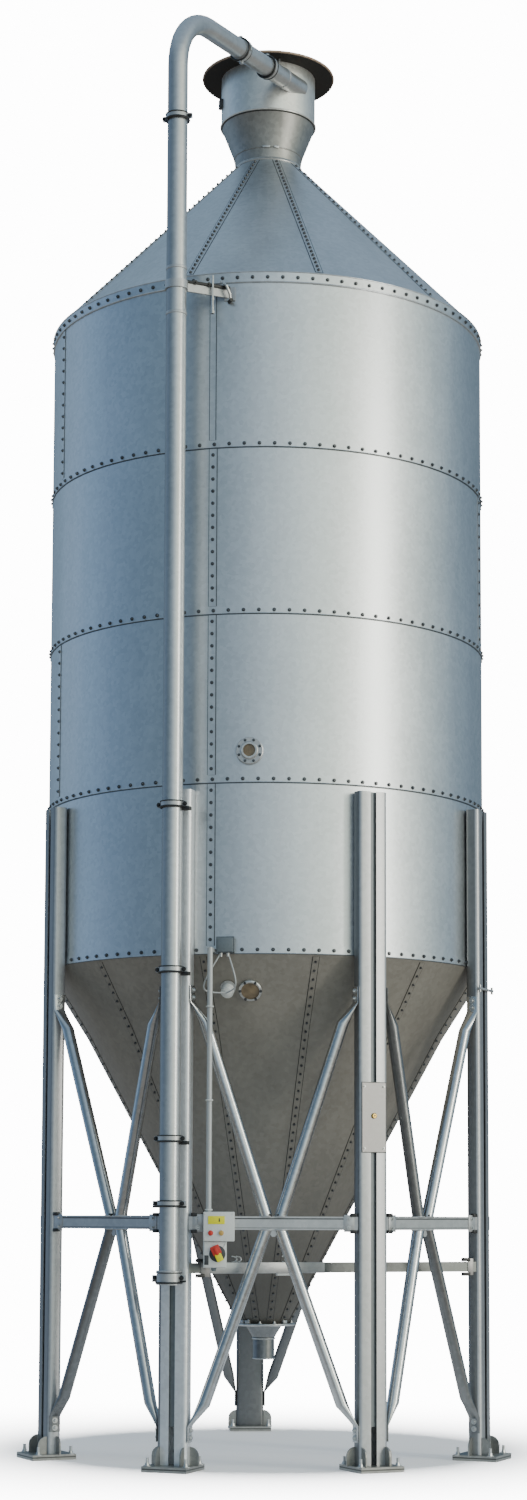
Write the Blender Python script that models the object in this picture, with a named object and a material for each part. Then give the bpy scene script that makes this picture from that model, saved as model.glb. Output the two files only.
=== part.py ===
"""Pellet silo on five legs: a bolted steel drum with a cone roof, a hopper, an outlet and a fill pipe.

Units are metres and +Z is up. The silo's own axis stands on the empty named silo_axis. Azimuths are in
degrees, 0 towards the front (-Y) and positive towards +X.
"""

import math

import bmesh
import bpy
from mathutils import Matrix, Vector

# Drum, measured from the ground
DRUM_R = 1.275
SHEET = 0.006
RING_COUNT = 4
RING_H = 0.9317
DRUM_BASE_Z = 2.737
LAP_H = 0.045
LAP_OUT = 0.003
GAP = 0.0003
SEGMENTS = 72

# Eaves, roof and inlet head
EAVE_Z = DRUM_BASE_Z + RING_COUNT * RING_H
EAVE_H = 0.060
EAVE_OUT = 0.006
ROOF_TOP_Z = 7.632
ROOF_WALL = 0.0084
NECK_R = 0.198
NECK_TOP_Z = 7.702
NECK_TOP_R = 0.204
HEAD_R = 0.284
HEAD_BASE_Z = 7.906
HEAD_TOP_Z = 8.204
CAP_R = 0.396
CAP_H = 0.014
CAP_SLOPE_W = 0.030
CAP_SLOPE_H = 0.012
HEAD_SEGMENTS = 40

# Hopper and outlet
HOPPER_END_Z = 0.722
HOPPER_END_R = 0.150
HOPPER_KNEE_Z = 2.360
HOPPER_KNEE_R = 1.035
HOPPER_WALL = 0.0069
FLANGE_R = 0.177
FLANGE_H = 0.014
REDUCER_R = 0.105
SPOUT_R = 0.062
SPOUT_TOP_Z = 0.636
SPOUT_END_Z = 0.515
SPOUT_WALL = 0.004

# Legs and feet
LEG_AZIMUTHS = {"left": -64.5, "front_left": -21.0, "front_right": 25.5, "right": 65.6, "rear": 183.7}
LEG_FACE_R = DRUM_R + LAP_OUT + GAP
LEG_W = 0.170
LEG_D = 0.078
LEG_LIP = 0.068
LEG_SHEET = 0.005
LEG_CORNER = 0.020
LEG_CORNER_STEPS = 3
LEG_TOP_Z = 3.630
FOOT_SIDE = 0.255
FOOT_H = 0.030
FOOT_R = 1.330
EAR_H = 0.100
EAR_L = 0.050
EAR_T = 0.008
EAR_INSET = 0.010
EAR_SINK = 0.004
EAR_SIDE_D = 0.018
EAR_STEPS = 5

# Beams and braces
BEAM_Z = 1.300
BEAM_H = 0.071
BEAM_D = 0.036
BEAM_R = LEG_FACE_R + 0.040
BRACE_R = 0.033
BRACE_SIDES = 16
BRACE_JOINT_X = 0.038
BRACE_MEETING = {"left": 0.580, "front": 0.500, "right": 0.420}
BRACE_TOP_Z = 2.480
BRACE_LOW_Z = 0.235
TONGUE_L = 0.085
TONGUE_W = 0.066
TONGUE_T = 0.010
TONGUE_BEND = 0.120
KNEE_REACH = {"rear_left": 0.24, "rear_right": 0.30}
TIE_Z = 1.061
TIE_H = 0.055
TIE_D = 0.035
TIE_SHEET = 0.004
TIE_R = LEG_FACE_R + 0.030

# Fill pipe
PIPE_R = 0.0555
PIPE_X = -0.500
PIPE_Y = -1.390
PIPE_END_Z = 0.990
PIPE_BEND_TOP_Z = 8.010
PIPE_BEND_R = 0.350
PIPE_BEND_STEPS = 12
PIPE_SLOPE = 0.070
PIPE_OFFSET = 0.243
PIPE_SIDES = 24
PIPE_PAST_WALL = 0.020
COUPLING_R = 0.0655
COUPLING_H = 0.075
COUPLING_FLOOR = 0.014
CLAMP_HEIGHTS = {"pipe_clamp_low": 1.743, "pipe_clamp_middle": 2.640, "pipe_clamp_high": 3.528}
CLAMP_R = 0.0640
CLAMP_H = 0.026
CLAMP_ARM_W = 0.030
CLAMP_ARM_H = 0.021
CLAMP_ARM_SHIFT = 0.022
CLAMP_BITE = 0.004
LUG_REACH = 0.086
LUG_T = 0.018
RISER_COUPLING_Z = 7.358
EAVES_CLAMP_Z = 6.400
EAVES_CLAMP_H = 0.046
EAVES_AZ = -9.4
EAVES_ARM = (0.012, 0.045)
EAVES_PAD = (0.060, 0.075, 0.010)

# Fittings on the front
BOX_X = -0.2435
BOX_W = 0.163
BOX_H = 0.152
BOX_D = 0.100
BOX_BASE_Z = 1.206
SWITCH_X = -0.2630
SWITCH_W = 0.123
SWITCH_H = 0.140
SWITCH_D = 0.085
CONDUIT_X = -0.2970
CONDUIT_R = 0.0145
CONDUIT_OUT = 0.0325
CONDUIT_TOP_Z = 2.768
CONDUIT_CLIP = (0.034, 0.018)
CONDUIT_CLIP_DROP = 0.0126
CONDUIT_SIDES = 12
HOPPER_SEAT = 0.0006
ROUND_SIDES = 28
JUNCTION_AZ = -9.4
JUNCTION_SIZE = (0.092, 0.040, 0.082)
JUNCTION_Z = 2.784
GLASS_WALL_AZ = -4.0
GLASS_WALL_Z = 3.842
GLASS_R = 0.075
GLASS_T = 0.014
GLASS_HOPPER_AZ = -3.9
GLASS_HOPPER_Z = 2.552
GLASS_HOPPER_R = 0.062
SENSOR_AZ = -9.8
SENSOR_Z = 2.562
SENSOR_R = 0.034
SENSOR_L = 0.050
COVER_Z = (1.680, 2.050)
COVER_W = 0.140
COVER_T = 0.004

# Place of the drum's axis in the frame whose origin is the middle of the whole object's floor plan
AXIS_X = -0.0048
AXIS_Y = -0.0036

GALVANISED = {"color": (0.56, 0.59, 0.61), "roughness": 0.42, "metallic": 0.75}
DARK_GALVANISED = {"color": (0.36, 0.35, 0.33), "roughness": 0.50, "metallic": 0.60}
PIPE_STEEL = {"color": (0.50, 0.52, 0.53), "roughness": 0.38, "metallic": 0.80}
RUSTY_BROWN = {"color": (0.13, 0.10, 0.09), "roughness": 0.60, "metallic": 0.30}
LIGHT_GREY = {"color": (0.70, 0.71, 0.70), "roughness": 0.50, "metallic": 0.0}
GLASS_DARK = {"color": (0.20, 0.22, 0.20), "roughness": 0.25, "metallic": 0.3}


def clear_scene():
    for obj in list(bpy.data.objects):
        bpy.data.objects.remove(obj, do_unlink=True)


def make_material(name, look):
    material = bpy.data.materials.new(name)
    material.use_nodes = True
    shader = material.node_tree.nodes["Principled BSDF"]
    shader.inputs["Base Color"].default_value = (*look["color"], 1.0)
    shader.inputs["Roughness"].default_value = look["roughness"]
    shader.inputs["Metallic"].default_value = look["metallic"]
    return material


def add_object(name, bm, look, axis, smooth=True):
    """Turn a bmesh into a named node that rides on the silo's axis."""
    bmesh.ops.recalc_face_normals(bm, faces=bm.faces)
    mesh = bpy.data.meshes.new(name)
    bm.to_mesh(mesh)
    bm.free()
    obj = bpy.data.objects.new(name, mesh)
    bpy.context.scene.collection.objects.link(obj)
    obj.parent = axis
    mesh.materials.append(make_material(name + "_finish", look))
    if smooth:
        mesh.shade_smooth()
        mesh.set_sharp_from_angle(angle=math.radians(30))
    return obj


def radial(azimuth):
    angle = math.radians(azimuth)
    return Vector((math.sin(angle), -math.cos(angle), 0.0))


def tangent(azimuth):
    angle = math.radians(azimuth)
    return Vector((math.cos(angle), math.sin(angle), 0.0))


def turned(profile, segments):
    """Spin a closed (radius, height) outline around the vertical axis."""
    bm = bmesh.new()
    rings = []
    for step in range(segments):
        angle = 2.0 * math.pi * step / segments
        rings.append([bm.verts.new((r * math.sin(angle), -r * math.cos(angle), z)) for r, z in profile])
    count = len(profile)
    for step in range(segments):
        here, there = rings[step], rings[(step + 1) % segments]
        for i in range(count):
            j = (i + 1) % count
            bm.faces.new((here[i], here[j], there[j], there[i]))
    return bm


def turned_solid(profile, segments):
    """Spin an open (radius, height) outline whose two ends are closed by flat discs."""
    bm = bmesh.new()
    rings = []
    for r, z in profile:
        angles = [2.0 * math.pi * step / segments for step in range(segments)]
        rings.append([bm.verts.new((r * math.sin(a), -r * math.cos(a), z)) for a in angles])
    for low, high in zip(rings, rings[1:]):
        for i in range(segments):
            j = (i + 1) % segments
            bm.faces.new((low[i], low[j], high[j], high[i]))
    bm.faces.new(rings[0])
    bm.faces.new(rings[-1])
    return bm


def prism(outline, place, length):
    """Extrude a closed (x, y) outline along +Z of the given matrix."""
    bm = bmesh.new()
    low = [bm.verts.new(place @ Vector((x, y, 0.0))) for x, y in outline]
    high = [bm.verts.new(place @ Vector((x, y, length))) for x, y in outline]
    count = len(outline)
    for i in range(count):
        j = (i + 1) % count
        bm.faces.new((low[i], low[j], high[j], high[i]))
    bm.faces.new(low)
    bm.faces.new(high)
    return bm


def strut(outline, start, end, up, start_cut, end_cut):
    """A straight bar between two cutting planes, each given as (point, normal)."""
    along = (end - start).normalized()
    side = along.cross(up).normalized()
    height = side.cross(along)
    bm = bmesh.new()
    ends = []
    for point, normal in (start_cut, end_cut):
        corners = []
        for across, rise in outline:
            base = start + side * across + height * rise
            reach = (point - base).dot(normal) / along.dot(normal)
            corners.append(bm.verts.new(base + along * reach))
        ends.append(corners)
    low, high = ends
    count = len(outline)
    for i in range(count):
        j = (i + 1) % count
        bm.faces.new((low[i], low[j], high[j], high[i]))
    bm.faces.new(low)
    bm.faces.new(high)
    return bm


def place_at(origin, x_axis, y_axis, z_axis):
    """Matrix that puts an outline's x and y and its extrusion along the three given directions."""
    matrix = Matrix((x_axis, y_axis, z_axis)).transposed().to_4x4()
    matrix.translation = origin
    return matrix


def box_outline(width, depth):
    half_w, half_d = width / 2.0, depth / 2.0
    return [(-half_w, -half_d), (half_w, -half_d), (half_w, half_d), (-half_w, half_d)]


def circle_outline(radius, sides):
    angles = [2.0 * math.pi * i / sides for i in range(sides)]
    return [(radius * math.cos(a), radius * math.sin(a)) for a in angles]


def boolean(target, tool_bm, operation, axis, name):
    """Union or difference with a second closed shape, kept as a hidden cutter."""
    tool = add_object(name, tool_bm, GALVANISED, axis, smooth=False)
    tool.hide_render = True
    tool.display_type = "WIRE"
    modifier = target.modifiers.new(name, "BOOLEAN")
    modifier.operation = operation
    modifier.object = tool
    modifier.solver = "EXACT"


def build_drum(axis):
    """Four bolted rings of sheet, each with a lap band at its lower edge, and the eaves band."""
    inner = DRUM_R - SHEET
    for number in range(1, RING_COUNT + 1):
        base = DRUM_BASE_Z + (RING_COUNT - number) * RING_H
        top = base + RING_H - GAP
        profile = [(DRUM_R, top), (DRUM_R, base + LAP_H), (DRUM_R + LAP_OUT, base + LAP_H),
                   (DRUM_R + LAP_OUT, base), (inner, base), (inner, top)]
        add_object(f"ring_{number}", turned(profile, SEGMENTS), GALVANISED, axis)
    outer = DRUM_R + EAVE_OUT
    profile = [(outer, EAVE_Z + EAVE_H), (outer, EAVE_Z), (inner, EAVE_Z), (inner, EAVE_Z + EAVE_H)]
    add_object("eave_band", turned(profile, SEGMENTS), GALVANISED, axis)


def build_roof(axis):
    base = EAVE_Z + EAVE_H + GAP
    outer = DRUM_R + EAVE_OUT
    profile = [(NECK_R, ROOF_TOP_Z), (outer, base), (outer - ROOF_WALL, base),
               (NECK_R - ROOF_WALL, ROOF_TOP_Z)]
    add_object("roof_cone", turned(profile, SEGMENTS), GALVANISED, axis)
    low = ROOF_TOP_Z + GAP
    neck_in = NECK_R - SHEET
    neck_top_in = HEAD_R - SHEET
    profile = [(HEAD_R, HEAD_BASE_Z), (NECK_TOP_R, NECK_TOP_Z), (NECK_R, low), (neck_in, low),
               (NECK_TOP_R - SHEET, NECK_TOP_Z), (neck_top_in, HEAD_BASE_Z)]
    add_object("roof_neck", turned(profile, HEAD_SEGMENTS), GALVANISED, axis)
    profile = [(HEAD_R, HEAD_TOP_Z), (HEAD_R, HEAD_BASE_Z + GAP), (neck_top_in, HEAD_BASE_Z + GAP),
               (neck_top_in, HEAD_TOP_Z)]
    add_object("inlet_head", turned(profile, HEAD_SEGMENTS), GALVANISED, axis)
    top = HEAD_TOP_Z + GAP
    profile = [(CAP_R, top), (CAP_R, top + CAP_H),
               (CAP_R - CAP_SLOPE_W, top + CAP_H + CAP_SLOPE_H)]
    add_object("cap_disc", turned_solid(profile, HEAD_SEGMENTS), RUSTY_BROWN, axis)


def build_hopper(axis):
    top = DRUM_BASE_Z - GAP
    profile = [(DRUM_R, top), (HOPPER_KNEE_R, HOPPER_KNEE_Z), (HOPPER_END_R, HOPPER_END_Z),
               (HOPPER_END_R - HOPPER_WALL, HOPPER_END_Z), (HOPPER_KNEE_R - HOPPER_WALL, HOPPER_KNEE_Z),
               (DRUM_R - HOPPER_WALL, top)]
    add_object("hopper_cone", turned(profile, SEGMENTS), DARK_GALVANISED, axis)
    top = HOPPER_END_Z - GAP
    low = top - FLANGE_H
    bore = REDUCER_R - SPOUT_WALL
    profile = [(FLANGE_R, top), (FLANGE_R, low), (bore, low), (bore, top)]
    add_object("outlet_flange", turned(profile, HEAD_SEGMENTS), GALVANISED, axis)
    top = low - GAP
    profile = [(REDUCER_R, top), (SPOUT_R, SPOUT_TOP_Z), (SPOUT_R, SPOUT_END_Z),
               (SPOUT_R - SPOUT_WALL, SPOUT_END_Z), (SPOUT_R - SPOUT_WALL, SPOUT_TOP_Z), (bore, top)]
    add_object("outlet_spout", turned(profile, PIPE_SIDES), GALVANISED, axis)


def arc(x, y, radius, start, end):
    """Points along a quarter circle, from one angle in degrees to the other."""
    turns = [math.radians(start + (end - start) * i / LEG_CORNER_STEPS) for i in range(LEG_CORNER_STEPS + 1)]
    return [(x + radius * math.cos(a), y + radius * math.sin(a)) for a in turns]


def leg_outline():
    """Lipped channel of rolled sheet, open outwards: x is tangential, y is outward from the drum."""
    lip = LEG_W / 2.0 - LEG_LIP
    x, low, high = LEG_W / 2.0 - LEG_CORNER, LEG_CORNER, LEG_D - LEG_CORNER
    face, r, tight = LEG_D - LEG_SHEET, LEG_CORNER, LEG_CORNER - LEG_SHEET
    outer = arc(x, low, r, 0.0, -90.0) + arc(-x, low, r, 270.0, 180.0) + arc(-x, high, r, 180.0, 90.0)
    inner = arc(-x, high, tight, 90.0, 180.0) + arc(-x, low, tight, 180.0, 270.0)
    inner += arc(x, low, tight, -90.0, 0.0) + arc(x, high, tight, 0.0, 90.0)
    left_lip, right_lip = [(-lip, LEG_D), (-lip, face)], [(lip, face), (lip, LEG_D)]
    return outer + left_lip + inner + right_lip + arc(x, high, r, 90.0, 0.0)


def ear_outline():
    """Gusset of a foot: x runs away from the leg, y is up, with its outer top corner rounded."""
    points = [(0.0, 0.0), (EAR_L, 0.0)]
    centre = EAR_H - EAR_L
    for step in range(EAR_STEPS + 1):
        angle = 0.5 * math.pi * step / EAR_STEPS
        points.append((EAR_L * math.cos(angle), centre + EAR_L * math.sin(angle)))
    return points


def build_leg(name, azimuth, axis):
    """A leg, and its foot: a base plate with two ears at the leg's lips and one at each side."""
    out, across, up = radial(azimuth), tangent(azimuth), Vector((0.0, 0.0, 1.0))
    base = place_at(out * LEG_FACE_R + up * (FOOT_H + GAP), across, out, up)
    add_object(f"leg_{name}", prism(leg_outline(), base, LEG_TOP_Z - FOOT_H - GAP), GALVANISED, axis, False)
    floor = place_at(out * FOOT_R, across, out, up)
    foot = add_object(f"foot_{name}", prism(box_outline(FOOT_SIDE, FOOT_SIDE), floor, FOOT_H),
                      GALVANISED, axis, False)
    seat = up * (FOOT_H - EAR_SINK)
    half = LEG_W / 2.0
    lips = out * (LEG_FACE_R + LEG_D + GAP) + seat
    sides = out * (LEG_FACE_R + EAR_SIDE_D) + seat
    ears = {
        "left_lip": place_at(lips - across * (half - EAR_INSET), out, up, across),
        "right_lip": place_at(lips + across * (half - EAR_INSET - EAR_T), out, up, across),
        "left_side": place_at(sides - across * (half + GAP), -across, up, out),
        "right_side": place_at(sides + across * (half + GAP) + out * EAR_T, across, up, -out),
    }
    for label, place in ears.items():
        boolean(foot, prism(ear_outline(), place, EAR_T), "UNION", axis, f"foot_{name}_{label}_cutter")


def side_point(azimuth, side, radius, height):
    """A point on a leg's side face; side is 1 for the face towards higher azimuths."""
    return radial(azimuth) * radius + tangent(azimuth) * (side * (LEG_W / 2.0 + GAP)) + Vector((0, 0, height))


def channel_outline(depth, height, sheet):
    """C section that opens towards the drum: x is across, y is up."""
    half, back = height / 2.0, depth / 2.0
    low = [(-back, -half), (back, -half), (back, sheet - half), (sheet - back, sheet - half)]
    return low + [(sheet - back, half - sheet), (back, half - sheet), (back, half), (-back, half)]


def loft(rings):
    """Closed body through rings of equal point counts."""
    bm = bmesh.new()
    rows = [[bm.verts.new(point) for point in ring] for ring in rings]
    count = len(rows[0])
    for low, high in zip(rows, rows[1:]):
        for i in range(count):
            j = (i + 1) % count
            bm.faces.new((low[i], low[j], high[j], high[i]))
    bm.faces.new(rows[0])
    bm.faces.new(rows[-1])
    return bm


def oval(centre, first, second):
    """Ring of points around a centre; the two vectors are its half axes."""
    return [centre + first * x + second * y for x, y in circle_outline(1.0, BRACE_SIDES)]


def brace_tube(leg_az, leg_side, height, foot, beam_along):
    """Round tube from the beam to a leg, where it is pressed to a tongue that lies on the leg's side.

    height is where the tongue begins; it runs on from there, away from the beam.
    """
    up = Vector((0.0, 0.0, 1.0))
    out, away = radial(leg_az), tangent(leg_az) * leg_side
    face = beam_along.cross(up)
    seat = side_point(leg_az, leg_side, BEAM_R, height) + away * (TONGUE_T / 2.0)
    end = seat + up * (TONGUE_L if height > BEAM_Z else -TONGUE_L)
    aim = seat + beam_along * (leg_side * BRACE_R)
    along = (aim - foot).normalized()
    across = face.cross(along).normalized()
    neck = aim - along * TONGUE_BEND
    cut = []
    for point in oval(foot, face * BRACE_R, across * BRACE_R):
        cut.append(point + along * ((foot - point).z / along.z))
    wide = out * (TONGUE_W / 2.0)
    flat = away * (math.copysign(TONGUE_T / 2.0, across.dot(away)))
    rings = [cut, oval(neck, face * BRACE_R, across * BRACE_R), oval(seat, wide, flat), oval(end, wide, flat)]
    return loft(rings)


def build_bay(name, first, second, axis):
    """A beam between two legs and the four braces that meet on it."""
    up = Vector((0.0, 0.0, 1.0))
    start = side_point(first, 1.0, BEAM_R, BEAM_Z)
    end = side_point(second, -1.0, BEAM_R, BEAM_Z)
    cuts = ((start, tangent(first)), (end, tangent(second)))
    outline = [(-x, y) for x, y in channel_outline(BEAM_D, BEAM_H, LEG_SHEET)]
    add_object(f"beam_{name}", strut(outline, start, end, up, *cuts), GALVANISED, axis, False)
    along = (end - start).normalized()
    reach = (end - start).length
    for label, height, sign in (("upper", BRACE_TOP_Z, 1.0), ("lower", BRACE_LOW_Z, -1.0)):
        lift = up * (sign * (BEAM_H / 2.0 + GAP))
        for side, leg_az, leg_side, leg_point in (("left", first, 1.0, start), ("right", second, -1.0, end)):
            inward = along * leg_side
            share = BRACE_MEETING.get(name, 0.5)
            distance = reach * (share if side == "left" else 1.0 - share) - BRACE_JOINT_X
            if name in KNEE_REACH:
                at_rear = (side == "left") == (name == "rear_left")
                if not at_rear or label == "upper":
                    continue
                distance = reach * KNEE_REACH[name]
            tube = brace_tube(leg_az, leg_side, height, leg_point + inward * distance + lift, along)
            add_object(f"brace_{name}_{label}_{side}", tube, GALVANISED, axis)


def build_tie(axis):
    """Lighter rail under the front beams, from the right leg to the front left leg."""
    up = Vector((0.0, 0.0, 1.0))
    first, second = LEG_AZIMUTHS["front_left"], LEG_AZIMUTHS["right"]
    start = side_point(first, 1.0, TIE_R, TIE_Z)
    end = side_point(second, -1.0, TIE_R, TIE_Z)
    cuts = ((start, tangent(first)), (end, tangent(second)))
    outline = [(-x, y) for x, y in channel_outline(TIE_D, TIE_H, TIE_SHEET)]
    add_object("tie_rail", strut(outline, start, end, up, *cuts), GALVANISED, axis, False)


def build_pipe(axis):
    """Riser, bend and the run that climbs a little and enters the inlet head beside its axis."""
    up = Vector((0.0, 0.0, 1.0))
    distance = math.hypot(PIPE_X, PIPE_Y)
    heading = math.atan2(-PIPE_Y, -PIPE_X) - math.asin(PIPE_OFFSET / distance)
    level = Vector((math.cos(heading), math.sin(heading), 0.0))
    slope = math.atan(PIPE_SLOPE)
    run = level * math.cos(slope) + up * math.sin(slope)
    side = up.cross(level)
    bend_base = PIPE_BEND_TOP_Z - PIPE_BEND_R
    place = Matrix.Translation((PIPE_X, PIPE_Y, PIPE_END_Z))
    riser = prism(circle_outline(PIPE_R, PIPE_SIDES), place, bend_base - PIPE_END_Z - GAP)
    add_object("pipe_riser", riser, PIPE_STEEL, axis)
    centre = Vector((PIPE_X, PIPE_Y, bend_base)) + level * PIPE_BEND_R
    rings = []
    for step in range(PIPE_BEND_STEPS + 1):
        angle = (0.5 * math.pi - slope) * step / PIPE_BEND_STEPS
        out = level * -math.cos(angle) + up * math.sin(angle)
        middle = centre + out * PIPE_BEND_R
        rings.append([middle + out * x + side * y for x, y in circle_outline(PIPE_R, PIPE_SIDES)])
    add_object("pipe_bend", loft(rings), PIPE_STEEL, axis)
    begin = middle + run * GAP
    reach = math.sqrt(distance ** 2 - PIPE_OFFSET ** 2) - PIPE_BEND_R - PIPE_PAST_WALL
    tube = prism(circle_outline(PIPE_R, PIPE_SIDES), place_at(begin, out, side, run), reach)
    inlet = add_object("pipe_inlet_run", tube, PIPE_STEEL, axis)
    low, high = HEAD_BASE_Z - PIPE_R, HEAD_TOP_Z + PIPE_R
    drum = turned_solid([(HEAD_R + GAP, low), (HEAD_R + GAP, high)], HEAD_SEGMENTS)
    boolean(inlet, drum, "DIFFERENCE", axis, "inlet_head_cutter")
    low = PIPE_END_Z - COUPLING_FLOOR
    bm = turned_solid([(COUPLING_R, low), (COUPLING_R, low + COUPLING_H)], PIPE_SIDES)
    bmesh.ops.translate(bm, verts=bm.verts, vec=(PIPE_X, PIPE_Y, 0.0))
    cap = add_object("pipe_end_coupling", bm, GALVANISED, axis)
    bore = PIPE_R + GAP
    hole = turned_solid([(bore, PIPE_END_Z - GAP), (bore, PIPE_END_Z + COUPLING_H)], PIPE_SIDES)
    bmesh.ops.translate(hole, verts=hole.verts, vec=(PIPE_X, PIPE_Y, 0.0))
    boolean(cap, hole, "DIFFERENCE", axis, "pipe_end_cutter")


def clamp_ring(height, deep):
    """Band around the riser, a little wider than the pipe."""
    inner = PIPE_R + GAP
    low, high = height - deep / 2.0, height + deep / 2.0
    bm = turned([(CLAMP_R, high), (CLAMP_R, low), (inner, low), (inner, high)], PIPE_SIDES)
    bmesh.ops.translate(bm, verts=bm.verts, vec=(PIPE_X, PIPE_Y, 0.0))
    return bm


def lugged_clamp(name, height, axis):
    """Clamp band with a bolting lug at each side."""
    clamp = add_object(name, clamp_ring(height, CLAMP_H), GALVANISED, axis)
    pipe = Vector((PIPE_X, PIPE_Y, height))
    across, up = tangent(LEG_AZIMUTHS["front_left"]), Vector((0.0, 0.0, 1.0))
    start = PIPE_R + CLAMP_BITE
    for label, away in (("left", -across), ("right", across)):
        place = place_at(pipe + away * start, up, up.cross(away), away)
        lug = prism(box_outline(CLAMP_H, LUG_T), place, LUG_REACH - start)
        boolean(clamp, lug, "UNION", axis, f"{name}_{label}_lug_cutter")
    return clamp


def build_pipe_clamps(axis):
    """Clamps on the front left leg's right lip, the riser's coupling and the bracket at the eaves."""
    up = Vector((0.0, 0.0, 1.0))
    azimuth = LEG_AZIMUTHS["front_left"]
    out, across = radial(azimuth), tangent(azimuth)
    pipe = Vector((PIPE_X, PIPE_Y, 0.0))
    near = LEG_FACE_R + LEG_D + GAP
    sideways = pipe.dot(across) + CLAMP_ARM_SHIFT
    for name, height in CLAMP_HEIGHTS.items():
        clamp = lugged_clamp(name, height, axis)
        length = pipe.dot(out) - PIPE_R - near
        place = place_at(out * near + across * sideways + up * height, up, across, out)
        arm = prism(box_outline(CLAMP_ARM_H, CLAMP_ARM_W), place, length)
        boolean(clamp, arm, "UNION", axis, name + "_arm_cutter")
    lugged_clamp("pipe_riser_coupling", RISER_COUPLING_Z, axis)
    clamp = add_object("eaves_bracket", clamp_ring(EAVES_CLAMP_Z, EAVES_CLAMP_H), GALVANISED, axis)
    start = pipe + up * EAVES_CLAMP_Z
    end = radial(EAVES_AZ) * (DRUM_R + GAP) + up * EAVES_CLAMP_Z
    along = (end - start).normalized()
    start += along * (PIPE_R + CLAMP_BITE)
    bar = strut(box_outline(*EAVES_ARM), start, end, up, (start, along), (end, radial(EAVES_AZ)))
    boolean(clamp, bar, "UNION", axis, "eaves_arm_cutter")
    width, height, deep = EAVES_PAD
    pad = prism(box_outline(width, height), frame_out(EAVES_AZ, DRUM_R + GAP, EAVES_CLAMP_Z), deep)
    boolean(clamp, pad, "UNION", axis, "eaves_pad_cutter")


def frame_out(azimuth, radius, height, tilt=0.0):
    """Matrix on the drum: x tangential, y up, +Z straight out from the wall, tipped down by tilt."""
    out, across, up = radial(azimuth), tangent(azimuth), Vector((0.0, 0.0, 1.0))
    lean = math.radians(tilt)
    normal = out * math.cos(lean) - up * math.sin(lean)
    rise = up * math.cos(lean) + out * math.sin(lean)
    return place_at(out * radius + up * height, across, rise, normal)


def hopper_radius(height):
    """Outer radius of the hopper's flared upper part."""
    share = (height - HOPPER_KNEE_Z) / (DRUM_BASE_Z - HOPPER_KNEE_Z)
    return HOPPER_KNEE_R + share * (DRUM_R - HOPPER_KNEE_R)


def build_fittings(axis):
    """Control gear on the front beam, its conduit, the windows and the leg's cover plate."""
    start = side_point(LEG_AZIMUTHS["front_left"], 1.0, BEAM_R, 0.0)
    end = side_point(LEG_AZIMUTHS["front_right"], -1.0, BEAM_R, 0.0)
    along = (end - start).normalized()
    up = Vector((0.0, 0.0, 1.0))
    outward = along.cross(up)
    share = (BOX_X - start.x) / (end.x - start.x)
    seat = start + (end - start) * share + outward * (BEAM_D / 2.0 + GAP)
    place = place_at(seat + up * (BOX_BASE_Z + BOX_H / 2.0), along, up, outward)
    add_object("control_box", prism(box_outline(BOX_W, BOX_H), place, BOX_D), LIGHT_GREY, axis, False)
    low = place.copy()
    low.translation = seat + along * (SWITCH_X - BOX_X) + up * (BOX_BASE_Z - GAP - SWITCH_H / 2.0)
    switch = prism(box_outline(SWITCH_W, SWITCH_H), low, SWITCH_D)
    add_object("isolator_switch", switch, LIGHT_GREY, axis, False)
    pole = seat + along * (CONDUIT_X - BOX_X) + outward * CONDUIT_OUT
    base = BOX_BASE_Z + BOX_H + GAP
    stand = Matrix.Translation(pole + up * base)
    conduit = prism(circle_outline(CONDUIT_R, CONDUIT_SIDES), stand, CONDUIT_TOP_Z - base)
    conduit = add_object("conduit", conduit, LIGHT_GREY, axis)
    azimuth = math.degrees(math.atan2(pole.x, -pole.y))
    clip = frame_out(azimuth, DRUM_R + LAP_OUT + GAP, CONDUIT_TOP_Z - CONDUIT_CLIP_DROP)
    depth = math.hypot(pole.x, pole.y) - DRUM_R - LAP_OUT
    boolean(conduit, prism(box_outline(*CONDUIT_CLIP), clip, depth), "UNION", axis, "conduit_clip_cutter")
    width, deep, tall = JUNCTION_SIZE
    place = frame_out(JUNCTION_AZ, DRUM_R + LAP_OUT + GAP, JUNCTION_Z)
    add_object("junction_box", prism(box_outline(width, tall), place, deep), LIGHT_GREY, axis, False)
    slope = math.degrees(math.atan2(DRUM_R - HOPPER_KNEE_R, DRUM_BASE_Z - HOPPER_KNEE_Z))
    place = frame_out(SENSOR_AZ, hopper_radius(SENSOR_Z) + HOPPER_SEAT, SENSOR_Z, slope)
    sensor = prism(circle_outline(SENSOR_R, ROUND_SIDES), place, SENSOR_L)
    add_object("level_sensor", sensor, LIGHT_GREY, axis)
    place = frame_out(GLASS_WALL_AZ, DRUM_R + GAP, GLASS_WALL_Z)
    glass = prism(circle_outline(GLASS_R, ROUND_SIDES), place, GLASS_T)
    add_object("sight_glass_wall", glass, GALVANISED, axis)
    place = frame_out(GLASS_HOPPER_AZ, hopper_radius(GLASS_HOPPER_Z) + HOPPER_SEAT, GLASS_HOPPER_Z, slope)
    glass = prism(circle_outline(GLASS_HOPPER_R, ROUND_SIDES), place, GLASS_T)
    add_object("sight_glass_hopper", glass, GLASS_DARK, axis)
    azimuth = LEG_AZIMUTHS["front_right"]
    low, high = COVER_Z
    place = frame_out(azimuth, LEG_FACE_R + LEG_D + GAP, (low + high) / 2.0)
    add_object("leg_cover_plate", prism(box_outline(COVER_W, high - low), place, COVER_T),
               GALVANISED, axis, False)


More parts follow.
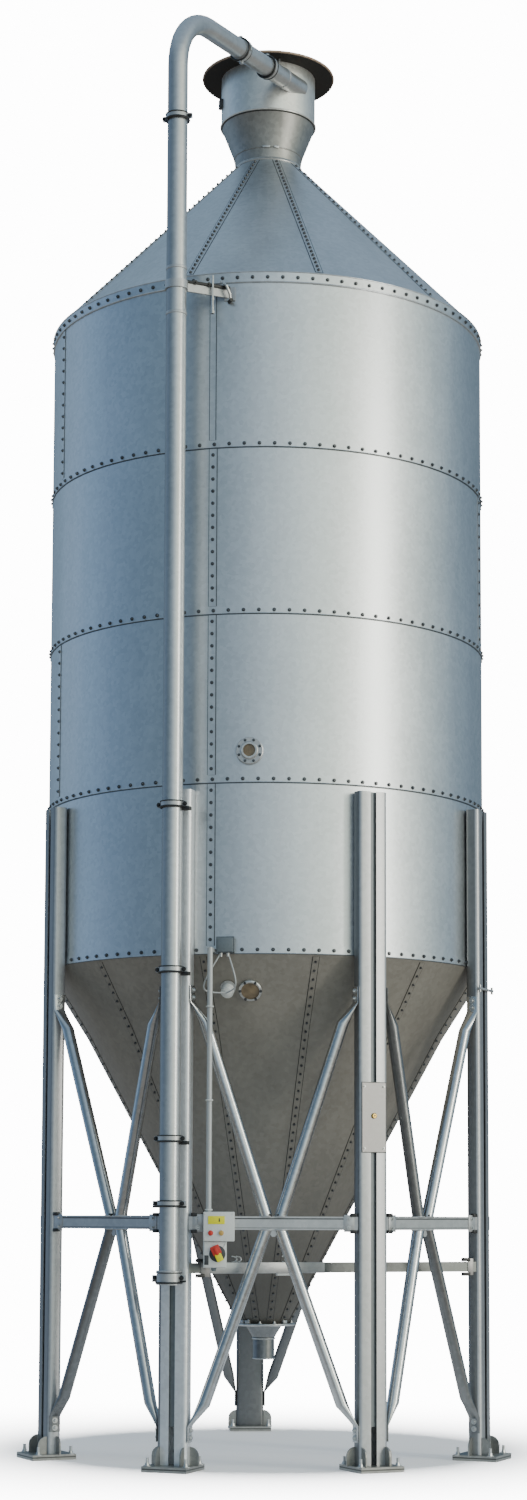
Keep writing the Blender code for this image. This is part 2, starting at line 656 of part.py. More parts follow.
def main():
    clear_scene()
    axis = bpy.data.objects.new("silo_axis", None)
    axis.location = (AXIS_X, AXIS_Y, 0.0)
    bpy.context.scene.collection.objects.link(axis)
    build_drum(axis)
    build_roof(axis)
    build_hopper(axis)
    for name, azimuth in LEG_AZIMUTHS.items():
        build_leg(name, azimuth, axis)
    legs = LEG_AZIMUTHS
    build_bay("left", legs["left"], legs["front_left"], axis)
    build_bay("front", legs["front_left"], legs["front_right"], axis)
    build_bay("right", legs["front_right"], legs["right"], axis)
    build_bay("rear_right", legs["right"], legs["rear"], axis)
    build_bay("rear_left", legs["rear"] - 360.0, legs["left"], axis)
    build_tie(axis)
    build_pipe(axis)
    build_pipe_clamps(axis)
    build_fittings(axis)


main()
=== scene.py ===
"""Looks of the pellet silo: finishes, bolts, seams, brackets, control gear, studio and camera."""

import math

import bmesh
import bpy
from bpy.props import FloatProperty, FloatVectorProperty, IntProperty, PointerProperty
from bpy.types import Operator, Panel, PropertyGroup
from mathutils import Matrix, Vector


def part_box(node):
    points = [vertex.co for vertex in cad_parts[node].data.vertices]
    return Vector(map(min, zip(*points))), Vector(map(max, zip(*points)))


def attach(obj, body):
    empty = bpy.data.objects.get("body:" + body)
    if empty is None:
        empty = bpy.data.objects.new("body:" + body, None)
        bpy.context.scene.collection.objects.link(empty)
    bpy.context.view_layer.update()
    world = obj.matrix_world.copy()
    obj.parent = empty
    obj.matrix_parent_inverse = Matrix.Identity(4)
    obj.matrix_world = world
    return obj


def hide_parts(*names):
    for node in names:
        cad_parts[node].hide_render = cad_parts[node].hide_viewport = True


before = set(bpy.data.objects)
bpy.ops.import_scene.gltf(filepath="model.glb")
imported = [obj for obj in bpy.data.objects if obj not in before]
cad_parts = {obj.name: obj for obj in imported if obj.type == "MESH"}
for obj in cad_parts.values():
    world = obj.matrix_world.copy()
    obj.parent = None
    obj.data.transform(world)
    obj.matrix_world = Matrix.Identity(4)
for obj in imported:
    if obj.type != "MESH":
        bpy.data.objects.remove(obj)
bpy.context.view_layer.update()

bl_info = {
    "name": "Pellet Silo Dresser",
    "version": (1, 0, 0),
    "blender": (4, 5, 0),
    "location": "View3D > Sidebar > Silo",
    "description": "Dresses a bolted steel pellet silo with fasteners, seams, fittings and finishes",
    "category": "Object",
}

UP = Vector((0.0, 0.0, 1.0))
LEGS = ("left", "front_left", "front_right", "right", "rear")
RINGS = ("ring_1", "ring_2", "ring_3", "ring_4")
BAYS = (("left", "left", "front_left"), ("front", "front_left", "front_right"), ("right", "front_right", "right"))
REAR_BAYS = (("rear_right", "right", "rear"), ("rear_left", "rear", "left"))


def middle(node):
    low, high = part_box(node)
    return (low + high) / 2.0


def base_z(node):
    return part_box(node)[0].z


def top_z(node):
    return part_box(node)[1].z


def half_width(node):
    low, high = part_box(node)
    return (high.x - low.x) / 2.0


AXIS = Vector((middle("ring_1").x, middle("ring_1").y, 0.0))
ON_AXIS = Matrix.Translation(AXIS)
DRUM_R = half_width("hopper_cone")
LAP_R = half_width("ring_1")
EAVE_R = half_width("eave_band")
DRUM_BASE_Z = base_z("ring_4")
EAVE_Z = base_z("eave_band")
EAVE_TOP_Z = top_z("eave_band")
ROOF_TOP_Z = top_z("roof_cone")
HEAD_R = half_width("inlet_head")
HEAD_BASE_Z = base_z("inlet_head")
HEAD_TOP_Z = top_z("inlet_head")
CAP_R = half_width("cap_disc")
HOPPER_END_Z = base_z("hopper_cone")
FLANGE_R = half_width("outlet_flange")
PIPE_R = half_width("pipe_riser")
PIPE = Vector((middle("pipe_riser").x, middle("pipe_riser").y, 0.0))
BEAM_Z = middle("beam_front").z
BEAM_H = top_z("beam_front") - base_z("beam_front")
# Measures of the CAD that no box gives, in metres and degrees
FOOT_TOP_Z = 0.030
NECK_R = 0.198
NECK_JOINT_R = 0.204
NECK_JOINT_Z = 7.702
LEG_W = 0.170
LEG_D = 0.078
LEG_SHEET = 0.005
COVER_W = 0.140
LEG_FACE_R = LAP_R + 0.0003
BEAM_D = 0.036
BEAM_R = LEG_FACE_R + 0.040
BRACE_R = 0.033
BRACE_JOINT_X = 0.038
BRACE_MEETING = {"left": 0.58, "front": 0.50, "right": 0.42}
# Flattened ends of the braces on the legs: height, and the way that their bolts lie from it
TONGUES = ((2.480, 1.0), (0.235, -1.0))
TONGUE_T = 0.010
TIE_R = LEG_FACE_R + 0.030
HOPPER_KNEE = (1.035, 2.360)
HOPPER_END_R = 0.150
PIPE_BEND_TOP_Z = 8.010
PIPE_BEND_R = 0.350
PIPE_SLOPE = 0.070
PIPE_OFFSET = 0.243
EAVES_ARM_AZ = -9.4
EAVES_ARM_Z = 6.432
BEAM_CLAMP_Z = 1.402
LUG_X = 0.076
# Measures of the trim
GROOVE_DEPTH = 0.016
STRIP_SINK = 0.003
LAP_T = 0.003
LAP_LINE = 0.0036
HEAD_TAPER = 0.62
WASHER_H = 0.005
TRIM_SHARP = 35.0
STAND_SHARP = 40.0


def radial(azimuth):
    """Unit direction away from the axis; 0 degrees is the front, positive to the right."""
    angle = math.radians(azimuth)
    return Vector((math.sin(angle), -math.cos(angle), 0.0))


def tangent(azimuth):
    angle = math.radians(azimuth)
    return Vector((math.cos(angle), math.sin(angle), 0.0))


def on_drum(azimuth, radius, height):
    return AXIS + radial(azimuth) * radius + UP * height


def azimuth_of(point):
    offset = point - AXIS
    return math.degrees(math.atan2(offset.x, -offset.y))


LEG_AZIMUTHS = {name: azimuth_of(middle(f"foot_{name}")) for name in LEGS}


def matrix_of(origin, x_axis, y_axis, z_axis):
    matrix = Matrix((x_axis, y_axis, z_axis)).transposed().to_4x4()
    matrix.translation = origin
    return matrix


class Bench:
    """A point with axes along, up and out, which places shapes by their distances from it."""

    def __init__(self, origin, along, out, up=UP):
        self.origin, self.along, self.up, self.out = origin, along, up, out

    def point(self, along=0.0, up=0.0, out=0.0):
        return self.origin + self.along * along + self.up * up + self.out * out

    def at(self, along=0.0, up=0.0, out=0.0):
        """Matrix at that point: x along, y up, z out."""
        return matrix_of(self.point(along, up, out), self.along, self.up, self.out)


def facing(azimuth, radius, height, tilt=0.0):
    """Place on the drum: x along the wall, y up, z straight out, tipped down by tilt degrees."""
    lean = math.radians(tilt)
    out, across = radial(azimuth), tangent(azimuth)
    normal = out * math.cos(lean) - UP * math.sin(lean)
    rise = UP * math.cos(lean) + out * math.sin(lean)
    return matrix_of(on_drum(azimuth, radius, height), across, rise, normal)


def leg_bench(leg, height=0.0):
    """Bench on the web of a leg: along is sideways, out is away from the silo."""
    azimuth = LEG_AZIMUTHS[leg]
    return Bench(on_drum(azimuth, LEG_FACE_R, height), tangent(azimuth), radial(azimuth))


def bay(first, second, height, radius=BEAM_R):
    """Bench where a beam leaves its first leg, along the beam, and the beam's length to the second leg."""
    start = on_drum(LEG_AZIMUTHS[first], radius, height) + tangent(LEG_AZIMUTHS[first]) * (LEG_W / 2.0)
    end = on_drum(LEG_AZIMUTHS[second], radius, height) - tangent(LEG_AZIMUTHS[second]) * (LEG_W / 2.0)
    along = (end - start).normalized()
    return Bench(start, along, along.cross(UP)), (end - start).length


def aim(point, direction, up=UP):
    """Place at a point whose z runs along a direction."""
    z_axis = direction.normalized()
    x_axis = up.cross(z_axis)
    if x_axis.length < 1e-4:
        x_axis = Vector((1.0, 0.0, 0.0))
    x_axis.normalize()
    return matrix_of(point, x_axis, z_axis.cross(x_axis), z_axis)


class Sock:
    """A node socket that takes Python arithmetic."""

    def __init__(self, graph, socket):
        self.graph = graph
        self.socket = socket

    def math(self, operation, first, second=None):
        values = {0: first} if second is None else {0: first, 1: second}
        return self.graph.value("ShaderNodeMath", {"operation": operation}, values)

    def __add__(self, other):
        return self.math("ADD", self, other)

    __radd__ = __add__

    def __mul__(self, other):
        return self.math("MULTIPLY", self, other)

    __rmul__ = __mul__

    def __sub__(self, other):
        return self.math("SUBTRACT", self, other)

    def __rsub__(self, other):
        return self.math("SUBTRACT", other, self)

    def below(self, other):
        return self.math("LESS_THAN", self, other)

    def absolute(self):
        return self.math("ABSOLUTE", self)

    def turn_from(self, other):
        return self.math("ARCTAN2", self, other)

    def clipped(self):
        return self.math("MINIMUM", self.math("MAXIMUM", self, 0.0), 1.0)


class Graph:
    """A node tree and the one way that nodes are added to it."""

    def __init__(self, tree):
        self.tree = tree

    def add(self, kind, settings=None, inputs=None):
        """New node: its settings first, then the values or links of its sockets, by name or number."""
        node = self.tree.nodes.new(kind)
        for key, value in (settings or {}).items():
            if key == "stops":
                self.fill_ramp(node.color_ramp.elements, value)
            else:
                setattr(node, key, value)
        for key, value in (inputs or {}).items():
            self.feed(node.inputs[key], value)
        return node

    def value(self, kind, settings=None, inputs=None, output=0):
        """As add, but gives the output socket for arithmetic or linking."""
        return Sock(self, self.add(kind, settings, inputs).outputs[output])

    def fill_ramp(self, elements, stops):
        while len(elements) < len(stops):
            elements.new(1.0)
        for element, (position, colour) in zip(elements, stops):
            element.position = position
            element.color = (*colour, 1.0)

    def feed(self, slot, value):
        if isinstance(value, Sock):
            value = value.socket
        if isinstance(value, bpy.types.NodeSocket):
            self.tree.links.new(value, slot)
        elif slot.type == "RGBA":
            slot.default_value = (*value, 1.0)
        else:
            slot.default_value = value

    def split(self, vector):
        node = self.add("ShaderNodeSeparateXYZ", inputs={0: vector})
        return [Sock(self, out) for out in node.outputs]

    def ramp(self, value, stops):
        """Value to colour through (position, colour) stops."""
        return self.value("ShaderNodeValToRGB", {"stops": stops}, {0: value})

    def mix(self, factor, first, second):
        return self.value("ShaderNodeMix", {"data_type": "RGBA"}, {0: factor, 6: first, 7: second}, 2)


class Finish(Graph):
    """Builds one node material around a Principled shader."""

    def __init__(self, name):
        self.material = bpy.data.materials.new(name)
        self.material.use_nodes = True
        super().__init__(self.material.node_tree)
        self.shader = self.tree.nodes["Principled BSDF"]
        self.place = self.value("ShaderNodeTexCoord", output="Object")
        self.x, self.y, self.z = self.split(self.place)

    def scaled(self, factors):
        return self.value("ShaderNodeMapping", inputs={"Vector": self.place, "Scale": factors})

    def noise(self, scale, detail=3.0, stretch=None, roughness=0.5):
        source = self.scaled(stretch) if stretch else self.place
        inputs = {"Vector": source, "Scale": scale, "Detail": detail, "Roughness": roughness}
        return self.value("ShaderNodeTexNoise", inputs=inputs, output="Fac")

    def cells(self, scale):
        colour = self.value("ShaderNodeTexVoronoi", inputs={"Vector": self.place, "Scale": scale}, output="Color")
        return self.value("ShaderNodeSeparateColor", inputs={0: colour})

    def bump(self, height, distance, strength=1.0):
        bump = self.value("ShaderNodeBump", inputs={"Height": height, "Distance": distance, "Strength": strength})
        self.feed(self.shader.inputs["Normal"], bump)

    def surface(self, colour, roughness, metallic):
        self.feed(self.shader.inputs["Base Color"], colour)
        self.feed(self.shader.inputs["Roughness"], roughness)
        self.feed(self.shader.inputs["Metallic"], metallic)
        return self.material


FINISHES = {}


def tint(colour, factor):
    return tuple(min(1.0, channel * factor) for channel in colour)


def line_mask(finish, height, thickness):
    """1 within a thin level band around a height, else 0."""
    return (finish.z - height).absolute().below(thickness)


def sheet_finish(name, colour, roughness, metallic, seams=(), contrast=0.12, streaks=0.35, waves=0.22,
                 painted_shade_left=False, painted_shade_low=()):
    """Galvanised sheet: soft clouds, long runs, faint spangle, and dark lines of painted shadow at the heights of
    seams.

    Two options paint shade: one darkens the sheet on the left of the fill pipe, the other darkens between two
    heights, downwards.
    """
    finish = Finish(name)
    clouds = finish.noise(1.3, 4.0)
    runs = finish.noise(6.0, 4.0, stretch=(1.0, 1.0, 0.08))
    spangle = finish.cells(48.0)
    tone = clouds * (0.80 - streaks) + runs * streaks + spangle * 0.20
    shade = finish.ramp(tone, [(0.30, tint(colour, 1.0 - contrast)), (0.50, colour),
                               (0.70, tint(colour, 1.0 + contrast))])
    # Painted shadow: a dark band at each seam height, under the lap.
    for height in seams:
        shade = finish.mix(line_mask(finish, height, LAP_LINE), shade, tint(colour, 0.30))
    # Painted shade on the left of the fill pipe.
    if painted_shade_left:
        left_shade_mask = ((PIPE.x - PIPE_R * 0.30 - finish.x) * (1.0 / (PIPE_R * 0.55))).clipped()
        shade = finish.mix(left_shade_mask * 0.60, shade, tint(colour, 0.22))
    # Painted shade, darker towards the bottom.
    if painted_shade_low:
        low, high = painted_shade_low
        shade = finish.mix(((high - finish.z) * (1.0 / (high - low))).clipped(), shade, tint(colour, 0.40))
    finish.bump(runs * 0.4 + clouds * 0.6, 0.006, waves)
    FINISHES[name] = finish.surface(shade, tone * 0.16 + (roughness - 0.08), metallic)


def plain_finish(name, colour, roughness, metallic, mottle, grain):
    """Moulded, painted or machined surface with a fine grain."""
    finish = Finish(name)
    grain_value = finish.noise(grain, 3.0)
    shade = finish.ramp(grain_value, [(0.3, tint(colour, 1.0 - mottle)), (0.7, tint(colour, 1.0 + mottle))])
    finish.bump(grain_value, 0.0006, 0.3)
    FINISHES[name] = finish.surface(shade, grain_value * 0.12 + (roughness - 0.06), metallic)


def rust_finish(name, colour, rust, roughness):
    """Dull dark paint with rust coming through."""
    finish = Finish(name)
    patches = finish.noise(9.0, 6.0, roughness=0.65)
    shade = finish.ramp(patches, [(0.40, colour), (0.56, tint(colour, 1.4)), (0.66, rust)])
    finish.bump(patches, 0.002, 0.5)
    FINISHES[name] = finish.surface(shade, patches * 0.2 + (roughness - 0.1), 0.15)


def smooth(mesh, sharp):
    """Smooth shading that keeps edges sharper than so many degrees."""
    mesh.shade_smooth()
    mesh.set_sharp_from_angle(angle=math.radians(sharp))


def add_piece(name, mesh, stands_for=None):
    """Object for a finished mesh, on the one body, in place of a CAD node where one is given."""
    obj = bpy.data.objects.new(name, mesh)
    bpy.context.scene.collection.objects.link(obj)
    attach(obj, "root")
    if stands_for:
        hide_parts(stands_for)
    return obj


class Piece:
    """Collects shapes in one mesh, each with its finish, and makes an object of it on the root body."""

    def __init__(self, name):
        self.name = name
        self.bm = bmesh.new()
        self.finishes = []

    def paint(self, faces, finish):
        if finish not in self.finishes:
            self.finishes.append(finish)
        for face in faces:
            face.material_index = self.finishes.index(finish)

    def box(self, place, size, finish, rounding=0.0):
        matrix = place @ Matrix.Diagonal((*size, 1.0))
        made = bmesh.ops.create_cube(self.bm, size=1.0, matrix=matrix)["verts"]
        faces = {face for vert in made for face in vert.link_faces}
        self.paint(faces, finish)
        if rounding:
            edges = {edge for face in faces for edge in face.edges}
            done = bmesh.ops.bevel(self.bm, geom=list(edges), offset=rounding, segments=2, profile=0.5,
                                   affect="EDGES")
            self.paint(done["faces"], finish)

    def rod(self, start, end, radius, finish, sides=16, end_radius=None):
        length = (end - start).length
        place = aim((start + end) / 2.0, end - start)
        top = radius if end_radius is None else end_radius
        made = bmesh.ops.create_cone(self.bm, cap_ends=True, segments=sides, radius1=radius, radius2=top,
                                     depth=length, matrix=place)["verts"]
        self.paint({face for vert in made for face in vert.link_faces}, finish)

    def skin(self, rings, finish, closed=False):
        """Quads between rings of points; the first and last ring are capped, or joined where closed."""
        rings = [[self.bm.verts.new(point) for point in ring] for ring in rings]
        count = len(rings[0])
        pairs = zip(rings, rings[1:] + rings[:1]) if closed else zip(rings, rings[1:])
        faces = [self.bm.faces.new((here[i], here[(i + 1) % count], there[(i + 1) % count], there[i]))
                 for here, there in pairs for i in range(count)]
        if not closed:
            faces += [self.bm.faces.new(rings[0][::-1]), self.bm.faces.new(rings[-1])]
        bmesh.ops.recalc_face_normals(self.bm, faces=faces)
        self.paint(faces, finish)

    def turned(self, place, profile, finish, segments=24):
        """Spin a closed (radius, height) outline around the place's z axis."""
        angles = [2.0 * math.pi * step / segments for step in range(segments)]
        self.skin([[place @ Vector((r * math.cos(angle), r * math.sin(angle), z)) for r, z in profile]
                   for angle in angles], finish, closed=True)

    def hoop(self, place, radius, height, thickness, finish, segments=40, sides=8):
        """Round bar bent to a ring around the place's z axis."""
        angles = [2.0 * math.pi * i / sides for i in range(sides)]
        profile = [(radius + thickness * math.cos(a), height + thickness * math.sin(a)) for a in angles]
        self.turned(place, profile, finish, segments)

    def plate(self, place, outline, thickness, finish):
        """Flat plate from an (x, y) outline, its back on the place."""
        self.skin([[place @ Vector((x, y, z)) for x, y in outline] for z in (0.0, thickness)], finish)

    def tube(self, points, radius, finish, sides=10):
        """Round bar that follows a list of points."""
        rings = []
        side = (points[1] - points[0]).normalized().orthogonal().normalized()
        angles = [2.0 * math.pi * step / sides for step in range(sides)]
        for i, point in enumerate(points):
            ahead = points[min(i + 1, len(points) - 1)] - points[max(i - 1, 0)]
            ahead.normalize()
            side = (side - ahead * side.dot(ahead)).normalized()
            other = ahead.cross(side)
            rings.append([point + (side * math.cos(angle) + other * math.sin(angle)) * radius for angle in angles])
        self.skin(rings, finish)

    def strip(self, path, azimuth, width, thickness, finish):
        """Lap strip on a round sheet: path is (radius, height) pairs, width is measured along the wall."""
        rows = []
        for radius, height in path:
            half = math.degrees(width / 2.0 / radius)
            outline = ((-half, -STRIP_SINK), (-half, thickness), (0.0, thickness), (half, thickness),
                       (half, -STRIP_SINK))
            rows.append([on_drum(azimuth + turn, radius + lift, height) for turn, lift in outline])
        self.skin(rows, finish)

    def done(self, slot="frame_steel"):
        mesh = bpy.data.meshes.new(self.name)
        self.bm.to_mesh(mesh)
        self.bm.free()
        for finish in self.finishes:
            mesh.materials.append(FINISHES[finish])
        smooth(mesh, TRIM_SHARP)
        return add_piece(self.name, mesh)


HEAD_SIZES = ("Head radius", "Head top radius", "Head height", "Washer radius", "Washer height")


def fastener_tree():
    """Geometry Nodes group: a bolt head on a washer at each point, turned to the point's aim."""
    tree = bpy.data.node_groups.new("fasteners", "GeometryNodeTree")
    face = tree.interface
    face.new_socket("Geometry", in_out="INPUT", socket_type="NodeSocketGeometry")
    for name in HEAD_SIZES:
        face.new_socket(name, in_out="INPUT", socket_type="NodeSocketFloat")
    face.new_socket("Finish", in_out="INPUT", socket_type="NodeSocketMaterial")
    face.new_socket("Geometry", in_out="OUTPUT", socket_type="NodeSocketGeometry")
    graph = Graph(tree)
    given = graph.add("NodeGroupInput").outputs
    head = graph.value("GeometryNodeMeshCone", None,
                       {"Vertices": 8, "Radius Top": given["Head top radius"],
                        "Radius Bottom": given["Head radius"], "Depth": given["Head height"]}, "Mesh")
    washer = graph.value("GeometryNodeMeshCylinder", None,
                         {"Vertices": 10, "Radius": given["Washer radius"], "Depth": given["Washer height"]}, "Mesh")
    joined = graph.add("GeometryNodeJoinGeometry")
    graph.feed(joined.inputs[0], head)
    graph.feed(joined.inputs[0], washer)
    aims = graph.value("GeometryNodeInputNamedAttribute", {"data_type": "FLOAT_VECTOR"}, {"Name": "aim"}, "Attribute")
    turn = graph.value("FunctionNodeAlignRotationToVector", {"axis": "Z"}, {"Vector": aims})
    placed = graph.value("GeometryNodeInstanceOnPoints", None,
                         {"Points": given["Geometry"], "Instance": joined.outputs[0], "Rotation": turn})
    real = graph.value("GeometryNodeRealizeInstances", None, {0: placed})
    coated = graph.value("GeometryNodeSetMaterial", None, {"Geometry": real, "Material": given["Finish"]})
    graph.add("NodeGroupOutput", None, {0: coated})
    return tree


def fasteners(name, seats, radius, height, finish="bolt_steel", washer=1.45):
    """Bolt heads at (point, direction) seats."""
    tree = bpy.data.node_groups.get("fasteners") or fastener_tree()
    points = bpy.data.meshes.new(name + "_seats")
    points.from_pydata([tuple(point) for point, _ in seats], [], [])
    attribute = points.attributes.new("aim", "FLOAT_VECTOR", "POINT")
    for item, (_, direction) in zip(attribute.data, seats):
        item.vector = direction
    carrier = bpy.data.objects.new(name, points)
    bpy.context.scene.collection.objects.link(carrier)
    modifier = carrier.modifiers.new("fasteners", "NODES")
    modifier.node_group = tree
    sockets = {item.name: item.identifier for item in tree.interface.items_tree if item.in_out == "INPUT"}
    for label, value in zip(HEAD_SIZES, (radius, radius * HEAD_TAPER, height, radius * washer, WASHER_H)):
        modifier[sockets[label]] = value
    modifier[sockets["Finish"]] = FINISHES[finish]
    bpy.context.view_layer.update()
    graph = bpy.context.evaluated_depsgraph_get()
    mesh = bpy.data.meshes.new_from_object(carrier.evaluated_get(graph))
    carrier.modifiers.remove(modifier)
    bpy.data.objects.remove(carrier)
    return add_piece(name, mesh)


STALE_LAYERS = ("custom_normal", "sharp_edge", "sharp_face")


def coat(node, finish):
    """Give a flat-sided CAD node its finish."""
    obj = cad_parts[node]
    obj.data.materials.clear()
    obj.data.materials.append(FINISHES[finish])


def smooth_copy(node, finish, sharp=32.0, sides=()):
    """Piece that stands for a round CAD node: the same shape with its facets welded and shaded smooth.

    Each (direction, cosine, finish) of sides coats the faces that look that way; the stand uses this for painted
    shade and painted light by which way a face looks.
    """
    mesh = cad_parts[node].data.copy()
    mesh.name = node + "_smooth"
    mesh.materials.clear()
    bm = bmesh.new()
    bm.from_mesh(mesh)
    bmesh.ops.remove_doubles(bm, verts=bm.verts, dist=1e-5)
    bm.normal_update()
    for face in bm.faces:
        face.material_index = 0
        for number, (direction, cosine, _) in enumerate(sides, 1):
            if face.normal.dot(direction) > cosine:
                face.material_index = number
    bm.to_mesh(mesh)
    bm.free()
    for layer in [item for item in mesh.attributes if item.name in STALE_LAYERS]:
        mesh.attributes.remove(layer)
    for coating in (finish, *(side[2] for side in sides)):
        mesh.materials.append(FINISHES[coating])
    smooth(mesh, sharp)
    return add_piece(mesh.name, mesh, node)


def hopper_radius(height):
    """Outer radius of the hopper, which flares a little under the drum."""
    knee_r, knee_z = HOPPER_KNEE
    if height > knee_z:
        share = (height - knee_z) / (DRUM_BASE_Z - knee_z)
        return knee_r + share * (DRUM_R - knee_r)
    share = (height - HOPPER_END_Z) / (knee_z - HOPPER_END_Z)
    return HOPPER_END_R + share * (knee_r - HOPPER_END_R)


def hopper_tilt(height):
    knee_r, knee_z = HOPPER_KNEE
    if height > knee_z:
        return math.degrees(math.atan2(DRUM_R - knee_r, DRUM_BASE_Z - knee_z))
    return math.degrees(math.atan2(knee_r - HOPPER_END_R, knee_z - HOPPER_END_Z))


def roof_radius(height):
    share = (height - EAVE_TOP_Z) / (ROOF_TOP_Z - EAVE_TOP_Z)
    return EAVE_R + share * (NECK_R - EAVE_R)


ROOF_TILT = -math.degrees(math.atan2(EAVE_R - NECK_R, ROOF_TOP_Z - EAVE_TOP_Z))


def around(radius, height, count, shift=0.0):
    """Seats at equal steps around the drum, each facing straight out."""
    azimuths = [360.0 * (i + shift) / count for i in range(count)]
    return [(on_drum(azimuth, radius, height), radial(azimuth)) for azimuth in azimuths]


def lapped_seams(name, azimuths, rows, bolts, radius_at, tilt_at, widths, finish, slot):
    """Lap strips up a cone through the heights of rows, with painted shadow along their edges, and the seats of their
    bolts.
    """
    laps = Piece(name)
    seats = []
    for azimuth in azimuths:
        path = [(radius_at(height), height) for height in rows]
        # A wider dark strip under the lap paints its shadow along the edges.
        laps.strip(path, azimuth, widths[0], 0.001, "dark_bolt")
        laps.strip(path, azimuth, widths[1], LAP_T, finish)
        for height in bolts:
            outward = facing(azimuth, 1.0, 0.0, tilt_at(height)).to_3x3() @ UP
            seats.append((on_drum(azimuth, radius_at(height) + LAP_T, height), outward))
    laps.done(slot)
    return seats


def metres(name, about, value):
    return FloatProperty(name=name, description=about, default=value, unit="LENGTH")


def colour_of(name, about, value):
    return FloatVectorProperty(name=name, description=about, default=value, subtype="COLOR")


class SiloSizes(PropertyGroup):
    joint_bolts: IntProperty(name="Bolts per joint", description="Bolts around each ring joint", default=96)
    seam_bolts: IntProperty(name="Bolts per seam", description="Bolts on one sheet's upright seam", default=13)
    joint_bolt_radius: metres("Joint bolt head", "Radius of a joint bolt's head", 0.0090)
    seam_bolt_radius: metres("Seam bolt head", "Radius of a seam bolt's head", 0.0068)
    strip_width: metres("Seam strip", "Width of the upright seam strip", 0.040)
    camera_distance: metres("Camera distance", "From the drum's axis", 14.933)
    camera_height: metres("Camera height", "Above the ground", 1.366)


class SiloColours(PropertyGroup):
    sheet: colour_of("Sheet", "Drum and roof sheet", (0.62, 0.65, 0.67))
    head: colour_of("Head", "Inlet head and its neck", (0.60, 0.60, 0.57))
    hopper: colour_of("Hopper", "Hopper sheet", (0.285, 0.267, 0.235))
    stand: colour_of("Stand", "Legs, beams and braces", (0.48, 0.49, 0.495))
    pipe: colour_of("Pipe", "Fill pipe", (0.52, 0.54, 0.55))
    cap: colour_of("Cap", "Cap disc over the inlet head", (0.010, 0.009, 0.008))


# Name, colour or its property, factor on it, roughness, metallic share, other settings of sheet_finish
SHEETS = (
    ("drum_sheet", "sheet", 1.0, 0.36, 0.95, {"seams": [base_z(ring) for ring in RINGS]}),
    ("roof_sheet", "sheet", 0.96, 0.42, 0.95, {}),
    # Painted shade on the hopper, darker towards the outlet.
    ("hopper_sheet", "hopper", 1.0, 0.48, 0.40, {"contrast": 0.16, "streaks": 0.5, "painted_shade_low": (0.95, 1.85)}),
    ("head_sheet", "head", 1.32, 0.38, 0.80, {}),
    ("neck_sheet", "head", 0.55, 0.42, 0.80, {"contrast": 0.22, "streaks": 0.6}),
    ("stand_steel", "stand", 1.0, 0.36, 0.62, {"waves": 0.03}),
    ("brace_steel", "stand", 1.15, 0.19, 0.99, {"contrast": 0.16, "waves": 0.03}),
    # Painted shade: a darker copy of the stand steel for the rear parts' faces that look to the front, under the
    # silo.
    ("rear_steel", "stand", 0.34, 0.36, 0.80, {"waves": 0.03}),
    ("plate_steel", (0.36, 0.35, 0.345), 1.0, 0.42, 0.70, {}),
    ("foot_steel", (0.33, 0.33, 0.31), 1.0, 0.42, 0.80, {"seams": (0.016,), "contrast": 0.2}),
    # Painted shade: a darker steel for the tie rail, which stands in shade; the outlet flange uses it too.
    ("tie_steel", (0.20, 0.21, 0.205), 1.0, 0.42, 0.85, {"contrast": 0.2}),
    # Painted shade: dark steel for the bottom of the legs' grooves.
    ("groove_steel", (0.17, 0.19, 0.20), 1.0, 0.42, 0.40, {"waves": 0.03}),
    # Painted shade: a darker copy of the stand steel for faces that look to the left.
    ("weathered_steel", "stand", 0.50, 0.38, 0.72, {"waves": 0.03}),
    # Painted light: a lighter copy of the stand steel for the front left leg.
    ("bright_steel", "stand", 1.6, 0.36, 0.55, {"waves": 0.03}),
    # Painted shade: a darker copy of the stand steel for the right leg's outer face.
    ("dull_steel", "stand", 0.66, 0.40, 0.66, {"waves": 0.03}),
    # Painted shade: a darker copy of the stand steel for braces that lean away from the light and for the outlet
    # spout.
    ("aged_steel", "stand", 0.46, 0.30, 0.90, {"contrast": 0.2, "waves": 0.03}),
    # Painted shade on the left side of the fill pipe.
    ("pipe_steel", "pipe", 1.0, 0.30, 0.74, {"waves": 0.03, "painted_shade_left": True}),
)
# Name, colour, roughness, metallic share, mottle, grain
PLAINS = (
    ("bolt_steel", (0.55, 0.56, 0.55), 0.38, 0.9, 0.12, 90.0),
    # The two dark bolt steels below also paint shadow: dark lines along lap strips, beam edges, the head's rim and
    # clamps.
    ("seam_bolt", (0.11, 0.115, 0.12), 0.36, 0.85, 0.2, 90.0),
    ("dark_bolt", (0.05, 0.05, 0.05), 0.45, 0.6, 0.2, 90.0),
    ("rusty_bolt", (0.30, 0.13, 0.05), 0.60, 0.3, 0.3, 90.0),
    ("grey_plastic", (0.70, 0.72, 0.70), 0.45, 0.0, 0.03, 140.0),
    ("conduit_plastic", (0.50, 0.52, 0.52), 0.40, 0.2, 0.03, 140.0),
    ("junction_plastic", (0.16, 0.19, 0.21), 0.45, 0.1, 0.06, 90.0),
    ("dark_plastic", (0.04, 0.045, 0.05), 0.45, 0.0, 0.1, 140.0),
    ("yellow_plastic", (0.85, 0.80, 0.006), 0.40, 0.0, 0.04, 120.0),
    ("red_plastic", (0.60, 0.035, 0.02), 0.40, 0.0, 0.05, 120.0),
    ("amber_lens", (0.58, 0.36, 0.10), 0.30, 0.0, 0.05, 120.0),
    ("brass", (0.62, 0.42, 0.12), 0.32, 0.9, 0.08, 120.0),
    ("dusty_glass", (0.20, 0.15, 0.09), 0.22, 0.1, 0.35, 22.0),
)


